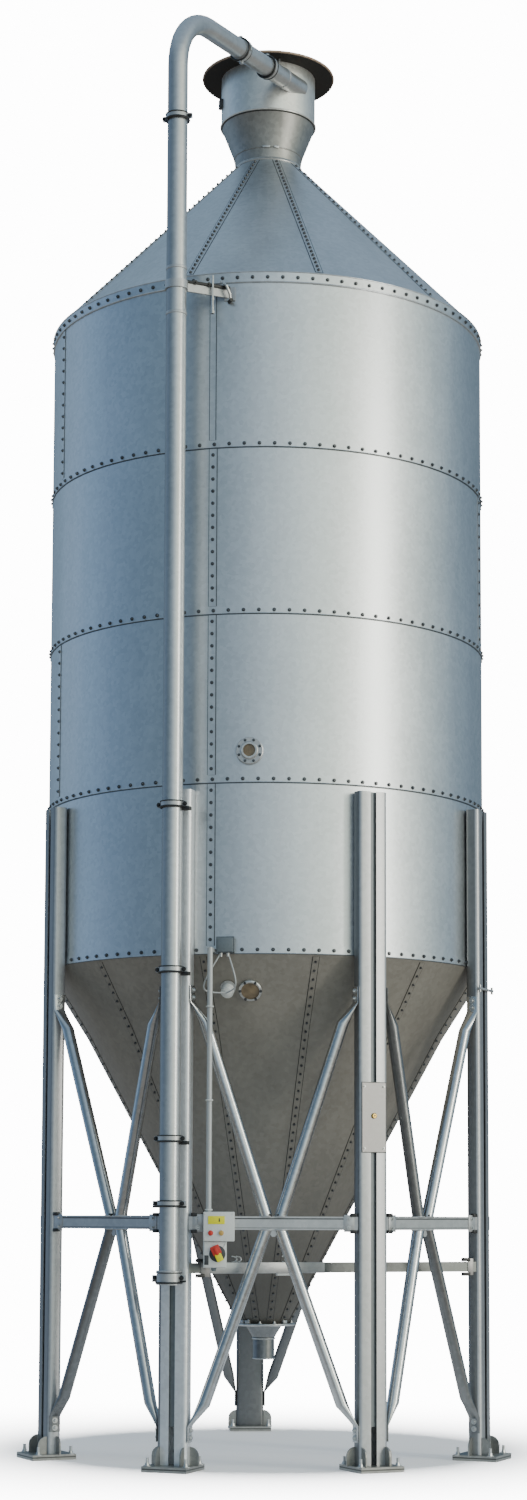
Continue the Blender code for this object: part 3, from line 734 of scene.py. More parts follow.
class SILO_OT_finishes(Operator):
    """Make the node materials"""

    bl_idname = "silo.finishes"
    bl_label = "Finishes"

    def execute(self, context):
        colours = context.scene.silo_colours
        for name, base, factor, roughness, metallic, others in SHEETS:
            colour = getattr(colours, base) if isinstance(base, str) else base
            sheet_finish(name, tint(colour, factor), roughness, metallic, **others)
        for looks in PLAINS:
            plain_finish(*looks)
        rust_finish("cap_paint", colours.cap, (0.035, 0.022, 0.014), 0.70)
        rust_finish("cap_rim", (0.36, 0.27, 0.20), (0.24, 0.13, 0.07), 0.55)
        return {"FINISHED"}


# Rise of the bolt row over each ring's lower edge
JOINT_BOLT_RISES = (0.022, 0.022, 0.022, 0.024)
# Azimuths of each ring's upright seams, the one that faces the front first
DRUM_SEAMS = {
    "ring_1": (-13.6, -68.0, 105.0, 180.0), "ring_2": (-13.4, 76.0, 150.0, 225.0),
    "ring_3": (-13.4, -68.5, 110.0, 195.0), "ring_4": (-13.4, 84.0, 160.0, 230.0),
}
# Gaps that a seam strip leaves below and above it, and its thickness
SEAM_FOOT = 0.046
SEAM_HEAD = 0.004
SEAM_T = 0.005


class SILO_OT_drum(Operator):
    """Finish the rings and add joint bolts, seam strips and the eaves trim"""

    bl_idname = "silo.drum"
    bl_label = "Drum"

    def execute(self, context):
        sizes = context.scene.silo_sizes
        for ring in (*RINGS, "eave_band"):
            smooth_copy(ring, "drum_sheet")
        seats = []
        for ring, rise in zip(RINGS, JOINT_BOLT_RISES):
            seats += around(LAP_R, base_z(ring) + rise, sizes.joint_bolts, 0.5)
        seats += around(EAVE_R, (EAVE_Z + EAVE_TOP_Z) / 2.0, sizes.joint_bolts)
        fasteners("joint_bolts", seats, sizes.joint_bolt_radius, 0.010, "seam_bolt", 1.2)
        self.seams(sizes)
        self.trim()
        return {"FINISHED"}

    def seams(self, sizes):
        """Upright seam strips of the rings, broader where the first seam of a lower ring shows in front."""
        strips = Piece("drum_seam_strips")
        seats = []
        for ring, azimuths in DRUM_SEAMS.items():
            low, high = base_z(ring) + SEAM_FOOT, top_z(ring) - SEAM_HEAD
            path = [(DRUM_R, low), (DRUM_R, high)]
            heights = [low + (high - low) / sizes.seam_bolts * (i + 0.5) for i in range(sizes.seam_bolts)]
            for number, azimuth in enumerate(azimuths):
                broad = number == 0 and ring != "ring_1"
                width = sizes.strip_width if broad else sizes.strip_width * 0.8
                thick = SEAM_T if broad else SEAM_T * 0.6
                # A wider dark strip under each seam strip paints its shadow along the edges.
                strips.strip(path, azimuth, width + 0.009, thick * 0.3, "seam_bolt")
                strips.strip(path, azimuth, width, thick, "drum_sheet")
                if number or ring != "ring_1":
                    seats += [(on_drum(azimuth, DRUM_R + thick, height), radial(azimuth)) for height in heights]
        strips.done("sheet_steel")
        fasteners("drum_seam_bolts", seats, sizes.seam_bolt_radius * 1.15, 0.009, "seam_bolt", 1.3)

    def trim(self):
        """Thin hoops at the ring joints and at both edges of the eaves."""
        trim = Piece("drum_hoops")
        hoops = [(LAP_R - 0.0015, base_z(ring) + 0.0035, 0.0032) for ring in RINGS]
        hoops += [(EAVE_R - 0.0015, EAVE_Z + 0.004, 0.004), (EAVE_R - 0.001, EAVE_TOP_Z + 0.001, 0.004)]
        for radius, height, thickness in hoops:
            trim.hoop(ON_AXIS, radius, height, thickness, "drum_sheet", 144)
        trim.done("sheet_steel")


# Azimuths of the lapped seams and the bolts on each
ROOF_SEAMS = (-56.0, -20.0, 13.0, 47.6, 84.0, 120.0, 156.0, 192.0, 228.0, 266.0)
HOPPER_SEAMS = (-46.0, -15.3, 12.5, 43.0, 73.0, 103.0, 133.0, 163.0, 193.0, 223.0, 253.0, 283.5)
ROOF_BOLTS = 32
HOPPER_BOLTS = 44
# Round pieces: node, finish, slot, and for the hopper's the angle above which an edge stays sharp
ROOF_LOOKS = (
    ("roof_cone", "roof_sheet", "sheet_steel"), ("roof_neck", "neck_sheet", "sheet_steel"),
    ("inlet_head", "head_sheet", "sheet_steel"), ("cap_disc", "cap_paint", "cap_steel"),
)
HOPPER_LOOKS = (
    ("hopper_cone", "hopper_sheet", "hopper_steel", 12.0), ("outlet_flange", "tie_steel", "sheet_steel", 32.0),
    # Painted shade: the spout gets a darker copy of the steel.
    ("outlet_spout", "aged_steel", "sheet_steel", 25.0),
)
# Section of the collar where the neck leaves the roof, measured from the neck's foot
NECK_COLLAR = ((0.008, -0.006), (0.010, -0.001), (0.001, 0.014), (-0.002, 0.012), (-0.002, -0.006))
FLANGE_BOLTS = (-62.0, -8.0, 22.0, 80.0, 120.0, 160.0, 200.0, 240.0, 275.0)
# Azimuth of each clip on the outlet's flange, and how far its bolt leans sideways
FLANGE_CLIPS = ((-34.0, 0.4), (-48.0, -0.2), (46.0, -1.0), (140.0, 0.6), (222.0, -0.6))


class SILO_OT_roof(Operator):
    """Finish the roof and its neck, head and cap"""

    bl_idname = "silo.roof"
    bl_label = "Roof"

    def execute(self, context):
        for node, finish, slot in ROOF_LOOKS:
            smooth_copy(node, finish)
        low, high = EAVE_TOP_Z + 0.012, ROOF_TOP_Z - 0.008
        rows = [low + (high - low) * i / 6.0 for i in range(7)]
        bolts = [low + (high - low) * (i + 0.6) / (ROOF_BOLTS + 0.2) for i in range(ROOF_BOLTS)]
        seats = lapped_seams("roof_seam_laps", ROOF_SEAMS, rows, bolts, roof_radius, lambda height: ROOF_TILT,
                             (0.046, 0.038), "roof_sheet", "sheet_steel")
        radius = context.scene.silo_sizes.seam_bolt_radius * 1.2
        fasteners("roof_bolts", seats, radius, 0.010, "seam_bolt", 1.25)
        self.head()
        return {"FINISHED"}

    def head(self):
        """Collar and joint of the neck, hoops of head and cap with a dark one as painted shadow under the head's rim,
        two clasps, a small block and one cap bolt.
        """
        parts = Piece("inlet_head_trim")
        parts.turned(ON_AXIS, [(NECK_R + r, ROOF_TOP_Z + z) for r, z in NECK_COLLAR], "bolt_steel", 72)
        for radius, height, thickness, finish in (
                (NECK_JOINT_R, NECK_JOINT_Z + 0.002, 0.004, "neck_sheet"),
                (HEAD_R + 0.001, HEAD_BASE_Z, 0.006, "head_sheet"),
                # A dark hoop under the head's rim paints the shadow below it.
                (HEAD_R - 0.002, HEAD_BASE_Z - 0.008, 0.004, "dark_bolt")):
            parts.hoop(ON_AXIS, radius, height, thickness, finish, 72)
        parts.hoop(ON_AXIS, CAP_R - 0.003, base_z("cap_disc") + 0.007, 0.0075, "cap_rim", 96)
        for azimuth, size in ((-3.0, 0.046), (14.0, 0.030)):
            clasp = facing(azimuth, NECK_JOINT_R + 0.005, NECK_JOINT_Z + 0.002)
            parts.box(clasp, (size, 0.014, 0.010), "bolt_steel", 0.003)
        parts.box(facing(-80.0, HEAD_R + 0.006, 8.035), (0.045, 0.060, 0.026), "dark_plastic", 0.006)
        seat = on_drum(12.0, HEAD_R + 0.030, HEAD_TOP_Z)
        parts.rod(seat, seat - UP * 0.022, 0.007, "bolt_steel", 10)
        parts.done("sheet_steel")


class SILO_OT_hopper(Operator):
    """Finish the hopper, its seams and its outlet"""

    bl_idname = "silo.hopper"
    bl_label = "Hopper"

    def execute(self, context):
        for node, finish, slot, sharp in HOPPER_LOOKS:
            smooth_copy(node, finish, sharp)
        low, high = HOPPER_END_Z + 0.02, DRUM_BASE_Z - 0.01
        rows = [low + (HOPPER_KNEE[1] - low) * i / 5.0 for i in range(6)] + [high]
        bolts = [low + (high - low) * (i + 0.4) / HOPPER_BOLTS for i in range(HOPPER_BOLTS)]
        seats = lapped_seams("hopper_seam_laps", HOPPER_SEAMS, rows, bolts, hopper_radius, hopper_tilt,
                             (0.041, 0.034), "hopper_sheet", "hopper_steel")
        radius = context.scene.silo_sizes.seam_bolt_radius * 0.9
        fasteners("hopper_bolts", seats, radius, 0.010, "seam_bolt", 1.25)
        self.outlet()
        return {"FINISHED"}

    def outlet(self):
        """Rolled rim of the flange, its clips and bolts, and the collars of the spout."""
        parts = Piece("outlet_trim")
        low, high = base_z("outlet_flange"), top_z("outlet_flange")
        spout = base_z("outlet_spout")
        parts.hoop(ON_AXIS, FLANGE_R - 0.002, (low + high) / 2.0, 0.008, "bolt_steel", 64)
        parts.hoop(ON_AXIS, 0.0635, spout + 0.118, 0.005, "bolt_steel")
        parts.hoop(ON_AXIS, 0.0615, spout + 0.004, 0.004, "stand_steel")
        for azimuth, lean in FLANGE_CLIPS:
            clip = Bench(on_drum(azimuth, FLANGE_R - 0.014, high), tangent(azimuth), radial(azimuth))
            top = clip.point(0.016 * lean, 0.050, -0.012)
            parts.rod(clip.point(), top, 0.0065, "bolt_steel", 10)
            parts.rod(top, clip.point(0.056 * lean, 0.058, -0.012), 0.005, "bolt_steel", 8)
            parts.box(clip.at(0.0, 0.010), (0.030, 0.018, 0.022), "stand_steel", 0.003)
        parts.done()
        seats = [(on_drum(azimuth, FLANGE_R - 0.016, high), UP) for azimuth in FLANGE_BOLTS]
        fasteners("outlet_bolts", seats, 0.009, 0.014)


# Lines on the front face of a beam: height, width, thickness, finish; the dark ones paint the shadow beside its
# rolled edges
BEAM_EDGES = (
    (0.031, 0.009, 0.004, "stand_steel"), (-0.031, 0.009, 0.004, "stand_steel"),
    (0.0235, 0.0055, 0.001, "dark_bolt"), (-0.0255, 0.0030, 0.001, "dark_bolt"),
)
GUSSET = ((-0.034, 0.0), (0.034, 0.0), (0.008, 0.036), (-0.008, 0.036))
# Tie rail: its end plates by share of the length and width, its raised hoops by share, its hook
RAIL_PLATES = ((0.045, 0.050), (0.988, 0.034))
RAIL_HOOPS = (0.14, 0.155, 0.315)
RAIL_HOOK = ((0.0, 0.0), (0.0, 0.060), (0.008, 0.075), (0.016, 0.070))
# Braces that lean away from the light, given painted shade
SHADED_BRACES = ("brace_right_upper_left", "brace_right_lower_right", "brace_left_lower_left")


class SILO_OT_stand(Operator):
    """Finish legs, feet, beams and braces and add their brackets and bolts"""

    bl_idname = "silo.stand"
    bl_label = "Stand"

    def execute(self, context):
        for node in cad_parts:
            # Painted shade: faces of the rear parts that look to the front get a darker copy of the steel.
            inner = [(radial(0.0), 0.05, "rear_steel")] if "rear" in node else []
            if node.startswith("brace_"):
                # Painted shade: braces that lean away from the light get a darker copy of the steel.
                finish = "aged_steel" if node in SHADED_BRACES else "brace_steel"
                smooth_copy(node, finish, STAND_SHARP, inner)
            elif node.startswith("leg_") and node != "leg_cover_plate":
                # Painted shade: faces that look to the left, and the right leg's outer face, get darker copies of the
                # steel.
                sides = inner or [(radial(-60.0), 0.80, "weathered_steel")]
                if node == "leg_right":
                    sides.append((radial(LEG_AZIMUTHS["right"]), 0.97, "dull_steel"))
                # Painted light: the front left leg gets a lighter copy of the steel.
                finish = "bright_steel" if node == "leg_front_left" else "stand_steel"
                smooth_copy(node, finish, STAND_SHARP, sides)
            elif node.startswith("beam_"):
                smooth_copy(node, "stand_steel", STAND_SHARP, inner)
            elif node.startswith("foot_"):
                coat(node, "foot_steel")
            # Painted shade: the tie rail gets a darker steel.
            elif node == "tie_rail":
                coat(node, "tie_steel")
        self.feet()
        self.grooves()
        self.beam_ends()
        self.brace_ends()
        self.leg_bolts()
        self.tie()
        return {"FINISHED"}

    def feet(self):
        """Anchor studs with nuts beside each leg, and two bolts inside its channel."""
        parts = Piece("foot_anchor_studs")
        nuts, inner, rusty = [], [], []
        for leg in LEGS:
            foot = leg_bench(leg, FOOT_TOP_Z)
            for sideways in (-0.110, 0.110):
                for outward in (-0.050, 0.140):
                    seat = foot.point(sideways, 0.0, outward)
                    nuts.append((seat, UP))
                    parts.rod(seat, seat + UP * 0.042, 0.008, "bolt_steel", 10)
            low, high = ((foot.point(0.0, rise, LEG_SHEET), foot.out) for rise in (0.070, 0.150))
            (rusty if leg == "front_right" else inner).append(low)
            inner.append(high)
        parts.done()
        fasteners("foot_nuts", nuts, 0.015, 0.018)
        fasteners("leg_foot_bolts", inner, 0.013, 0.013)
        fasteners("leg_foot_rusty_bolts", rusty, 0.014, 0.014, "rusty_bolt")

    def grooves(self):
        """Bottom of the shallow groove between each leg's lips, from above the foot bolts to the leg's top, dark as
        painted shade.
        """
        parts = Piece("leg_groove_strips")
        for leg in LEGS:
            low, high = FOOT_TOP_Z + 0.200, top_z(f"leg_{leg}") - 0.002
            place = leg_bench(leg, (low + high) / 2.0).at(0.0, 0.0, LEG_D - GROOVE_DEPTH)
            parts.box(place, (0.050, high - low, 0.002), "groove_steel")
        parts.done()

    def beam_ends(self):
        """Plates, bolts and dark corner blocks at the beams' ends.

        The front bays also get the lines along the beam, the dark ones painted shadow, and, where the braces meet, a
        gusset, collars and blocks.
        """
        parts = Piece("beam_brackets")
        seats = []
        tall, deep = BEAM_H / 2.0, BEAM_D / 2.0
        for name, first, second in (*BAYS, *REAR_BAYS):
            beam, reach = bay(first, second, BEAM_Z)
            for foot, inward in ((0.0, 1.0), (reach, -1.0)):
                plate, block = foot + inward * 0.040, foot + inward * 0.018
                parts.box(beam.at(plate, 0.0, deep + 0.002), (0.056, BEAM_H + 0.020, 0.004), "stand_steel", 0.001)
                for edge in (-1.0, 1.0):
                    seats.append((beam.point(plate, edge * 0.024, deep + 0.004), beam.out))
                    parts.box(beam.at(block, edge * (tall + 0.009), deep), (0.034, 0.018, 0.026), "dark_bolt", 0.003)
            if name.startswith("rear"):
                continue
            for rise, width, proud, finish in BEAM_EDGES:
                parts.box(beam.at(reach / 2.0, rise, deep + proud / 2.0), (reach - 0.14, width, proud), finish)
            meeting = reach * BRACE_MEETING[name]
            under = matrix_of(beam.point(meeting, -tall, deep - 0.006), -beam.along, -UP, beam.out)
            parts.plate(under, GUSSET, 0.005, "stand_steel")
            for edge in (tall, -tall):
                for shift in (-BRACE_JOINT_X, BRACE_JOINT_X):
                    parts.hoop(aim(beam.point(meeting + shift, edge), UP), BRACE_R + 0.0015, 0.0, 0.004,
                               "stand_steel", 32)
            for shift in (-0.022, 0.030):
                parts.box(beam.at(meeting + shift, tall + 0.006, BRACE_R * 0.6), (0.028, 0.014, 0.022), "dark_bolt",
                          0.003)
        parts.done()
        fasteners("beam_bolts", seats, 0.009, 0.010)

    def brace_ends(self):
        """Two bolts through the flattened end of each brace, on the sides of the legs."""
        seats = []
        for _, first, second in BAYS:
            for height, away in TONGUES:
                for leg, side in ((first, 1.0), (second, -1.0)):
                    bench = leg_bench(leg, height)
                    face = side * (LEG_W / 2.0 + 0.0006 + TONGUE_T)
                    seats += [(bench.point(face, away * rise, BEAM_R - LEG_FACE_R), bench.along * side)
                              for rise in (0.022, 0.062)]
        fasteners("brace_bolts", seats, 0.011, 0.011)

    def leg_bolts(self):
        """Rows of bolts that hold each leg's web to the drum."""
        seats = []
        for leg in LEGS:
            web = leg_bench(leg, DRUM_BASE_Z + 0.03)
            seats += [(web.point(sideways, 0.10 * i, LEG_SHEET), web.out)
                      for i in range(9) for sideways in (-0.024, 0.024)]
        fasteners("leg_web_bolts", seats, 0.009, 0.010, "seam_bolt")

    def tie(self):
        """Sleeve joint, hooks, clip and end plates of the tie rail."""
        parts = Piece("tie_rail_trim")
        rail, reach = bay("front_left", "right", middle("tie_rail").z, TIE_R)
        parts.box(rail.at(reach * 0.245), (reach * 0.43, 0.0585, 0.0385), "stand_steel", 0.002)
        for share, width in RAIL_PLATES:
            parts.box(rail.at(reach * share, 0.0, 0.0195), (width, 0.092, 0.004), "plate_steel", 0.001)
            for edge in (-0.040, 0.040):
                parts.box(rail.at(reach * share - 0.030, edge, 0.0215), (0.046, 0.020, 0.026), "dark_bolt", 0.003)
        turns = [math.pi * i / 8.0 for i in range(9)]
        for share in RAIL_HOOPS:
            parts.tube([rail.point(reach * share + 0.030 * math.sin(turn), 0.030 + 0.0156 * (1.0 - math.cos(turn)))
                        for turn in turns], 0.004, "bolt_steel", 8)
        parts.tube([rail.point(reach * 0.325 + x, 0.028 + y, 0.010) for x, y in RAIL_HOOK], 0.0045, "dark_bolt", 8)
        parts.box(rail.at(reach * 0.318, -0.035), (0.075, 0.014, 0.026), "grey_plastic", 0.003)
        parts.done()
        fasteners("tie_rail_bolts", [(rail.point(reach * 0.36, 0.0, 0.0195), rail.out)], 0.009, 0.009, "dark_bolt")


CLAMPS = ("pipe_clamp_low", "pipe_clamp_middle", "pipe_clamp_high", "pipe_riser_coupling")
# Collars on the upright pipe, and on the climbing run: place along it, length, how far they stand out
RISER_BANDS = ((6.495, 0.018, 0.0030), (6.240, 0.018, 0.0030), (BEAM_CLAMP_Z, 0.026, 0.0095))
RUN_BANDS = ((0.375, 0.038, 0.009), (0.690, 0.020, 0.010), (0.876, 0.010, 0.003))
# Rod under the eaves and its nuts: top, foot, radius
HANGING_ROD = ((0.050, -0.165, 0.0065), (-0.075, -0.090, 0.010), (-0.150, -0.165, 0.011))
WALL_CLAW = ((-0.050, 0.030, 0.0), (-0.030, 0.0, 0.030), (-0.010, -0.045, 0.030), (0.0, -0.070, 0.012))


class SILO_OT_fill_pipe(Operator):
    """Finish the fill pipe and add its couplings, straps and brackets"""

    bl_idname = "silo.fill_pipe"
    bl_label = "Fill pipe"

    def execute(self, context):
        for node in ("pipe_riser", "pipe_bend", "pipe_inlet_run"):
            smooth_copy(node, "pipe_steel")
        for node in (*CLAMPS, "pipe_end_coupling", "eaves_bracket"):
            smooth_copy(node, "stand_steel")
        parts = Piece("pipe_couplings")
        start, run = self.run_line()
        for height, length, swell in RISER_BANDS:
            self.band(parts, PIPE + UP * height, UP, length, swell)
        for reach, length, swell in RUN_BANDS:
            self.band(parts, start + run * reach, run, length, swell)
        for node in CLAMPS:
            self.edges(parts, PIPE + UP * middle(node).z, UP, 0.030, PIPE_R + 0.0095)
        for reach, _, _ in RUN_BANDS[:2]:
            self.edges(parts, start + run * reach, run, 0.034, PIPE_R + 0.0075)
        self.coupling_lugs(parts, start, run)
        seats = self.clamp_lugs(parts)
        for height in (base_z("pipe_end_coupling") + 0.008, top_z("pipe_end_coupling") - 0.006):
            self.band(parts, PIPE + UP * height, UP, 0.014, 0.013)
        self.edges(parts, PIPE + UP * middle("pipe_end_coupling").z, UP, 0.052, PIPE_R + 0.012)
        seats += self.eaves_fittings(parts)
        parts.done("pipe_steel")
        fasteners("pipe_clamp_bolts", seats, 0.0085, 0.010, "dark_bolt")
        return {"FINISHED"}

    def edges(self, parts, centre, direction, length, radius):
        """Two dark lines of painted shadow at the edges of a clamp, the lower one thicker."""
        for shift, thick in ((-0.5, 0.0060), (0.5, 0.0034)):
            parts.hoop(aim(centre + direction * (length * shift), direction), radius, 0.0, thick, "dark_bolt", 40, 6)

    def band(self, parts, centre, direction, length, swell):
        """Collar around the pipe, with bevelled edges."""
        inner, outer = PIPE_R - 0.002, PIPE_R + swell
        half = length / 2.0
        edge = min(0.003, half / 2.0)
        profile = [(outer, -half + edge), (outer, half - edge), (outer - edge, half), (inner, half), (inner, -half),
                   (outer - edge, -half)]
        parts.turned(aim(centre, direction), profile, "stand_steel", 40)

    def run_line(self):
        """Start and direction of the climbing run that leaves the pipe's bend."""
        offset = AXIS - PIPE
        heading = math.atan2(offset.y, offset.x) - math.asin(PIPE_OFFSET / offset.length)
        level = Vector((math.cos(heading), math.sin(heading), 0.0))
        slope = math.atan(PIPE_SLOPE)
        centre = PIPE + UP * (PIPE_BEND_TOP_Z - PIPE_BEND_R) + level * PIPE_BEND_R
        out = UP * math.cos(slope) - level * math.sin(slope)
        return centre + out * PIPE_BEND_R, level * math.cos(slope) + UP * math.sin(slope)

    def coupling_lugs(self, parts, start, run):
        """Bolting lugs of the couplings on the run: above, below and beside the first, above the second."""
        side = UP.cross(run).normalized()
        line = Bench(start, run, run.cross(side), side)
        first, second = (reach for reach, _, _ in RUN_BANDS[:2])
        for reach, sign in ((first, -1.0), (first, 1.0), (second, 1.0)):
            rise = sign * (PIPE_R + 0.014)
            parts.box(line.at(reach, 0.0, rise), (0.022, 0.020, 0.026), "stand_steel", 0.003)
            parts.rod(line.point(reach - 0.020, 0.0, rise), line.point(reach + 0.020, 0.0, rise), 0.005,
                      "bolt_steel", 8)
        parts.box(line.at(first, -PIPE_R - 0.010), (0.020, 0.014, 0.034), "bolt_steel", 0.003)

    def clamp_lugs(self, parts):
        """Brackets behind the clamps, the lugs of two that have none in the CAD with a dark slab of painted shadow
        under each, and the seats of their bolts.
        """
        azimuth = LEG_AZIMUTHS["front_left"]
        pipe = Bench(PIPE, tangent(azimuth), radial(azimuth))
        for node in CLAMPS[:3]:
            parts.box(pipe.at(LUG_X, middle(node).z - 0.022, -0.014), (0.046, 0.020, 0.036), "dark_bolt", 0.003)
        self.edges(parts, PIPE + UP * BEAM_CLAMP_Z, UP, 0.028, PIPE_R + 0.0085)
        loose = (BEAM_CLAMP_Z, middle("pipe_end_coupling").z)
        for height in loose:
            for side in (-LUG_X, LUG_X):
                parts.box(pipe.at(side, height), (0.036, 0.028, 0.018), "stand_steel", 0.003)
                # A dark slab under each lug paints its shadow.
                parts.box(pipe.at(side, height - 0.018, -0.002), (0.036, 0.010, 0.018), "dark_bolt")
        return [(pipe.point(side, height, 0.009), pipe.out)
                for height in (*(middle(node).z for node in CLAMPS), *loose) for side in (-LUG_X, LUG_X)]

    def eaves_fittings(self, parts):
        """Strap, hanging rod and bolts of the bracket that holds the pipe under the eaves."""
        wall = on_drum(EAVES_ARM_AZ, DRUM_R + 0.012, EAVES_ARM_Z)
        pipe = PIPE + UP * EAVES_ARM_Z
        reach = (wall - pipe).length
        along = (wall - pipe).normalized()
        arm = Bench(pipe, along, along.cross(UP))
        parts.box(arm.at((reach + PIPE_R) / 2.0), (reach - PIPE_R, 0.016, 0.020), "dark_bolt", 0.003)
        for high, low, radius in HANGING_ROD:
            parts.rod(arm.point(reach * 0.66, high, 0.016), arm.point(reach * 0.66, low, 0.016), radius,
                      "bolt_steel", 10)
        parts.tube([arm.point(reach + x, y, z) for x, y, z in WALL_CLAW], 0.008, "bolt_steel", 10)
        parts.rod(arm.point(reach, -0.076, 0.032), arm.point(reach, -0.076, -0.008), 0.010, "dark_bolt", 10)
        return [(arm.point(reach * share, 0.0, 0.010), arm.out) for share in (0.35, 0.60, 0.92)]


FLAT_FITTINGS = (
    ("control_box", "grey_plastic"), ("isolator_switch", "grey_plastic"), ("junction_box", "junction_plastic"),
    ("leg_cover_plate", "plate_steel"),
)
ROUND_FITTINGS = (
    ("conduit", "conduit_plastic", "grey_plastic"), ("level_sensor", "grey_plastic", "grey_plastic"),
    ("sight_glass_wall", "stand_steel", "sheet_steel"), ("sight_glass_hopper", "dusty_glass", "window"),
)
# Outlines of turned parts, as (radius, height)
LENS = ((0.014, 0.0), (0.014, 0.004), (0.011, 0.010), (0.0, 0.013), (0.0, 0.0))
DIAL = ((0.043, 0.0), (0.043, 0.003), (0.040, 0.005), (0.0, 0.005), (0.0, 0.0))
SENSOR_SEAT = ((0.042, 0.004), (0.042, 0.010), (0.0, 0.010), (0.0, 0.004))
SENSOR_CAP = ((0.030, 0.045), (0.028, 0.062), (0.012, 0.070), (0.0, 0.072), (0.0, 0.045))
LOCK = ((0.015, 0.0), (0.015, 0.006), (0.011, 0.009), (0.0, 0.009), (0.0, 0.0))
KEYHOLE = ((0.004, 0.0085), (0.004, 0.0105), (0.0, 0.0105), (0.0, 0.0085))
WALL_GLASS = (
    (((0.075, -0.003), (0.075, 0.0), (0.071, 0.003), (0.046, 0.003), (0.046, -0.003)), "stand_steel", 48),
    (((0.048, 0.0), (0.048, 0.013), (0.043, 0.018), (0.034, 0.018), (0.032, 0.004)), "bolt_steel", 40),
    (((0.033, 0.0), (0.033, 0.006), (0.0, 0.008), (0.0, 0.0)), "dusty_glass", 32),
)
HOPPER_GLASS = (
    (((0.063, -0.012), (0.063, 0.004), (0.058, 0.008), (0.050, 0.008), (0.050, -0.012)), "bolt_steel", 44),
    (((0.050, 0.0), (0.050, 0.002), (0.0, 0.003), (0.0, 0.0)), "dusty_glass", 32),
)
# Raised lip at the corner of the isolator's lid: along, up, out
LID_LIP = ((0.058, 0.068, 0.0505), (0.052, 0.048, 0.0525), (0.040, 0.030, 0.0525))
STRAP_Z = 2.610


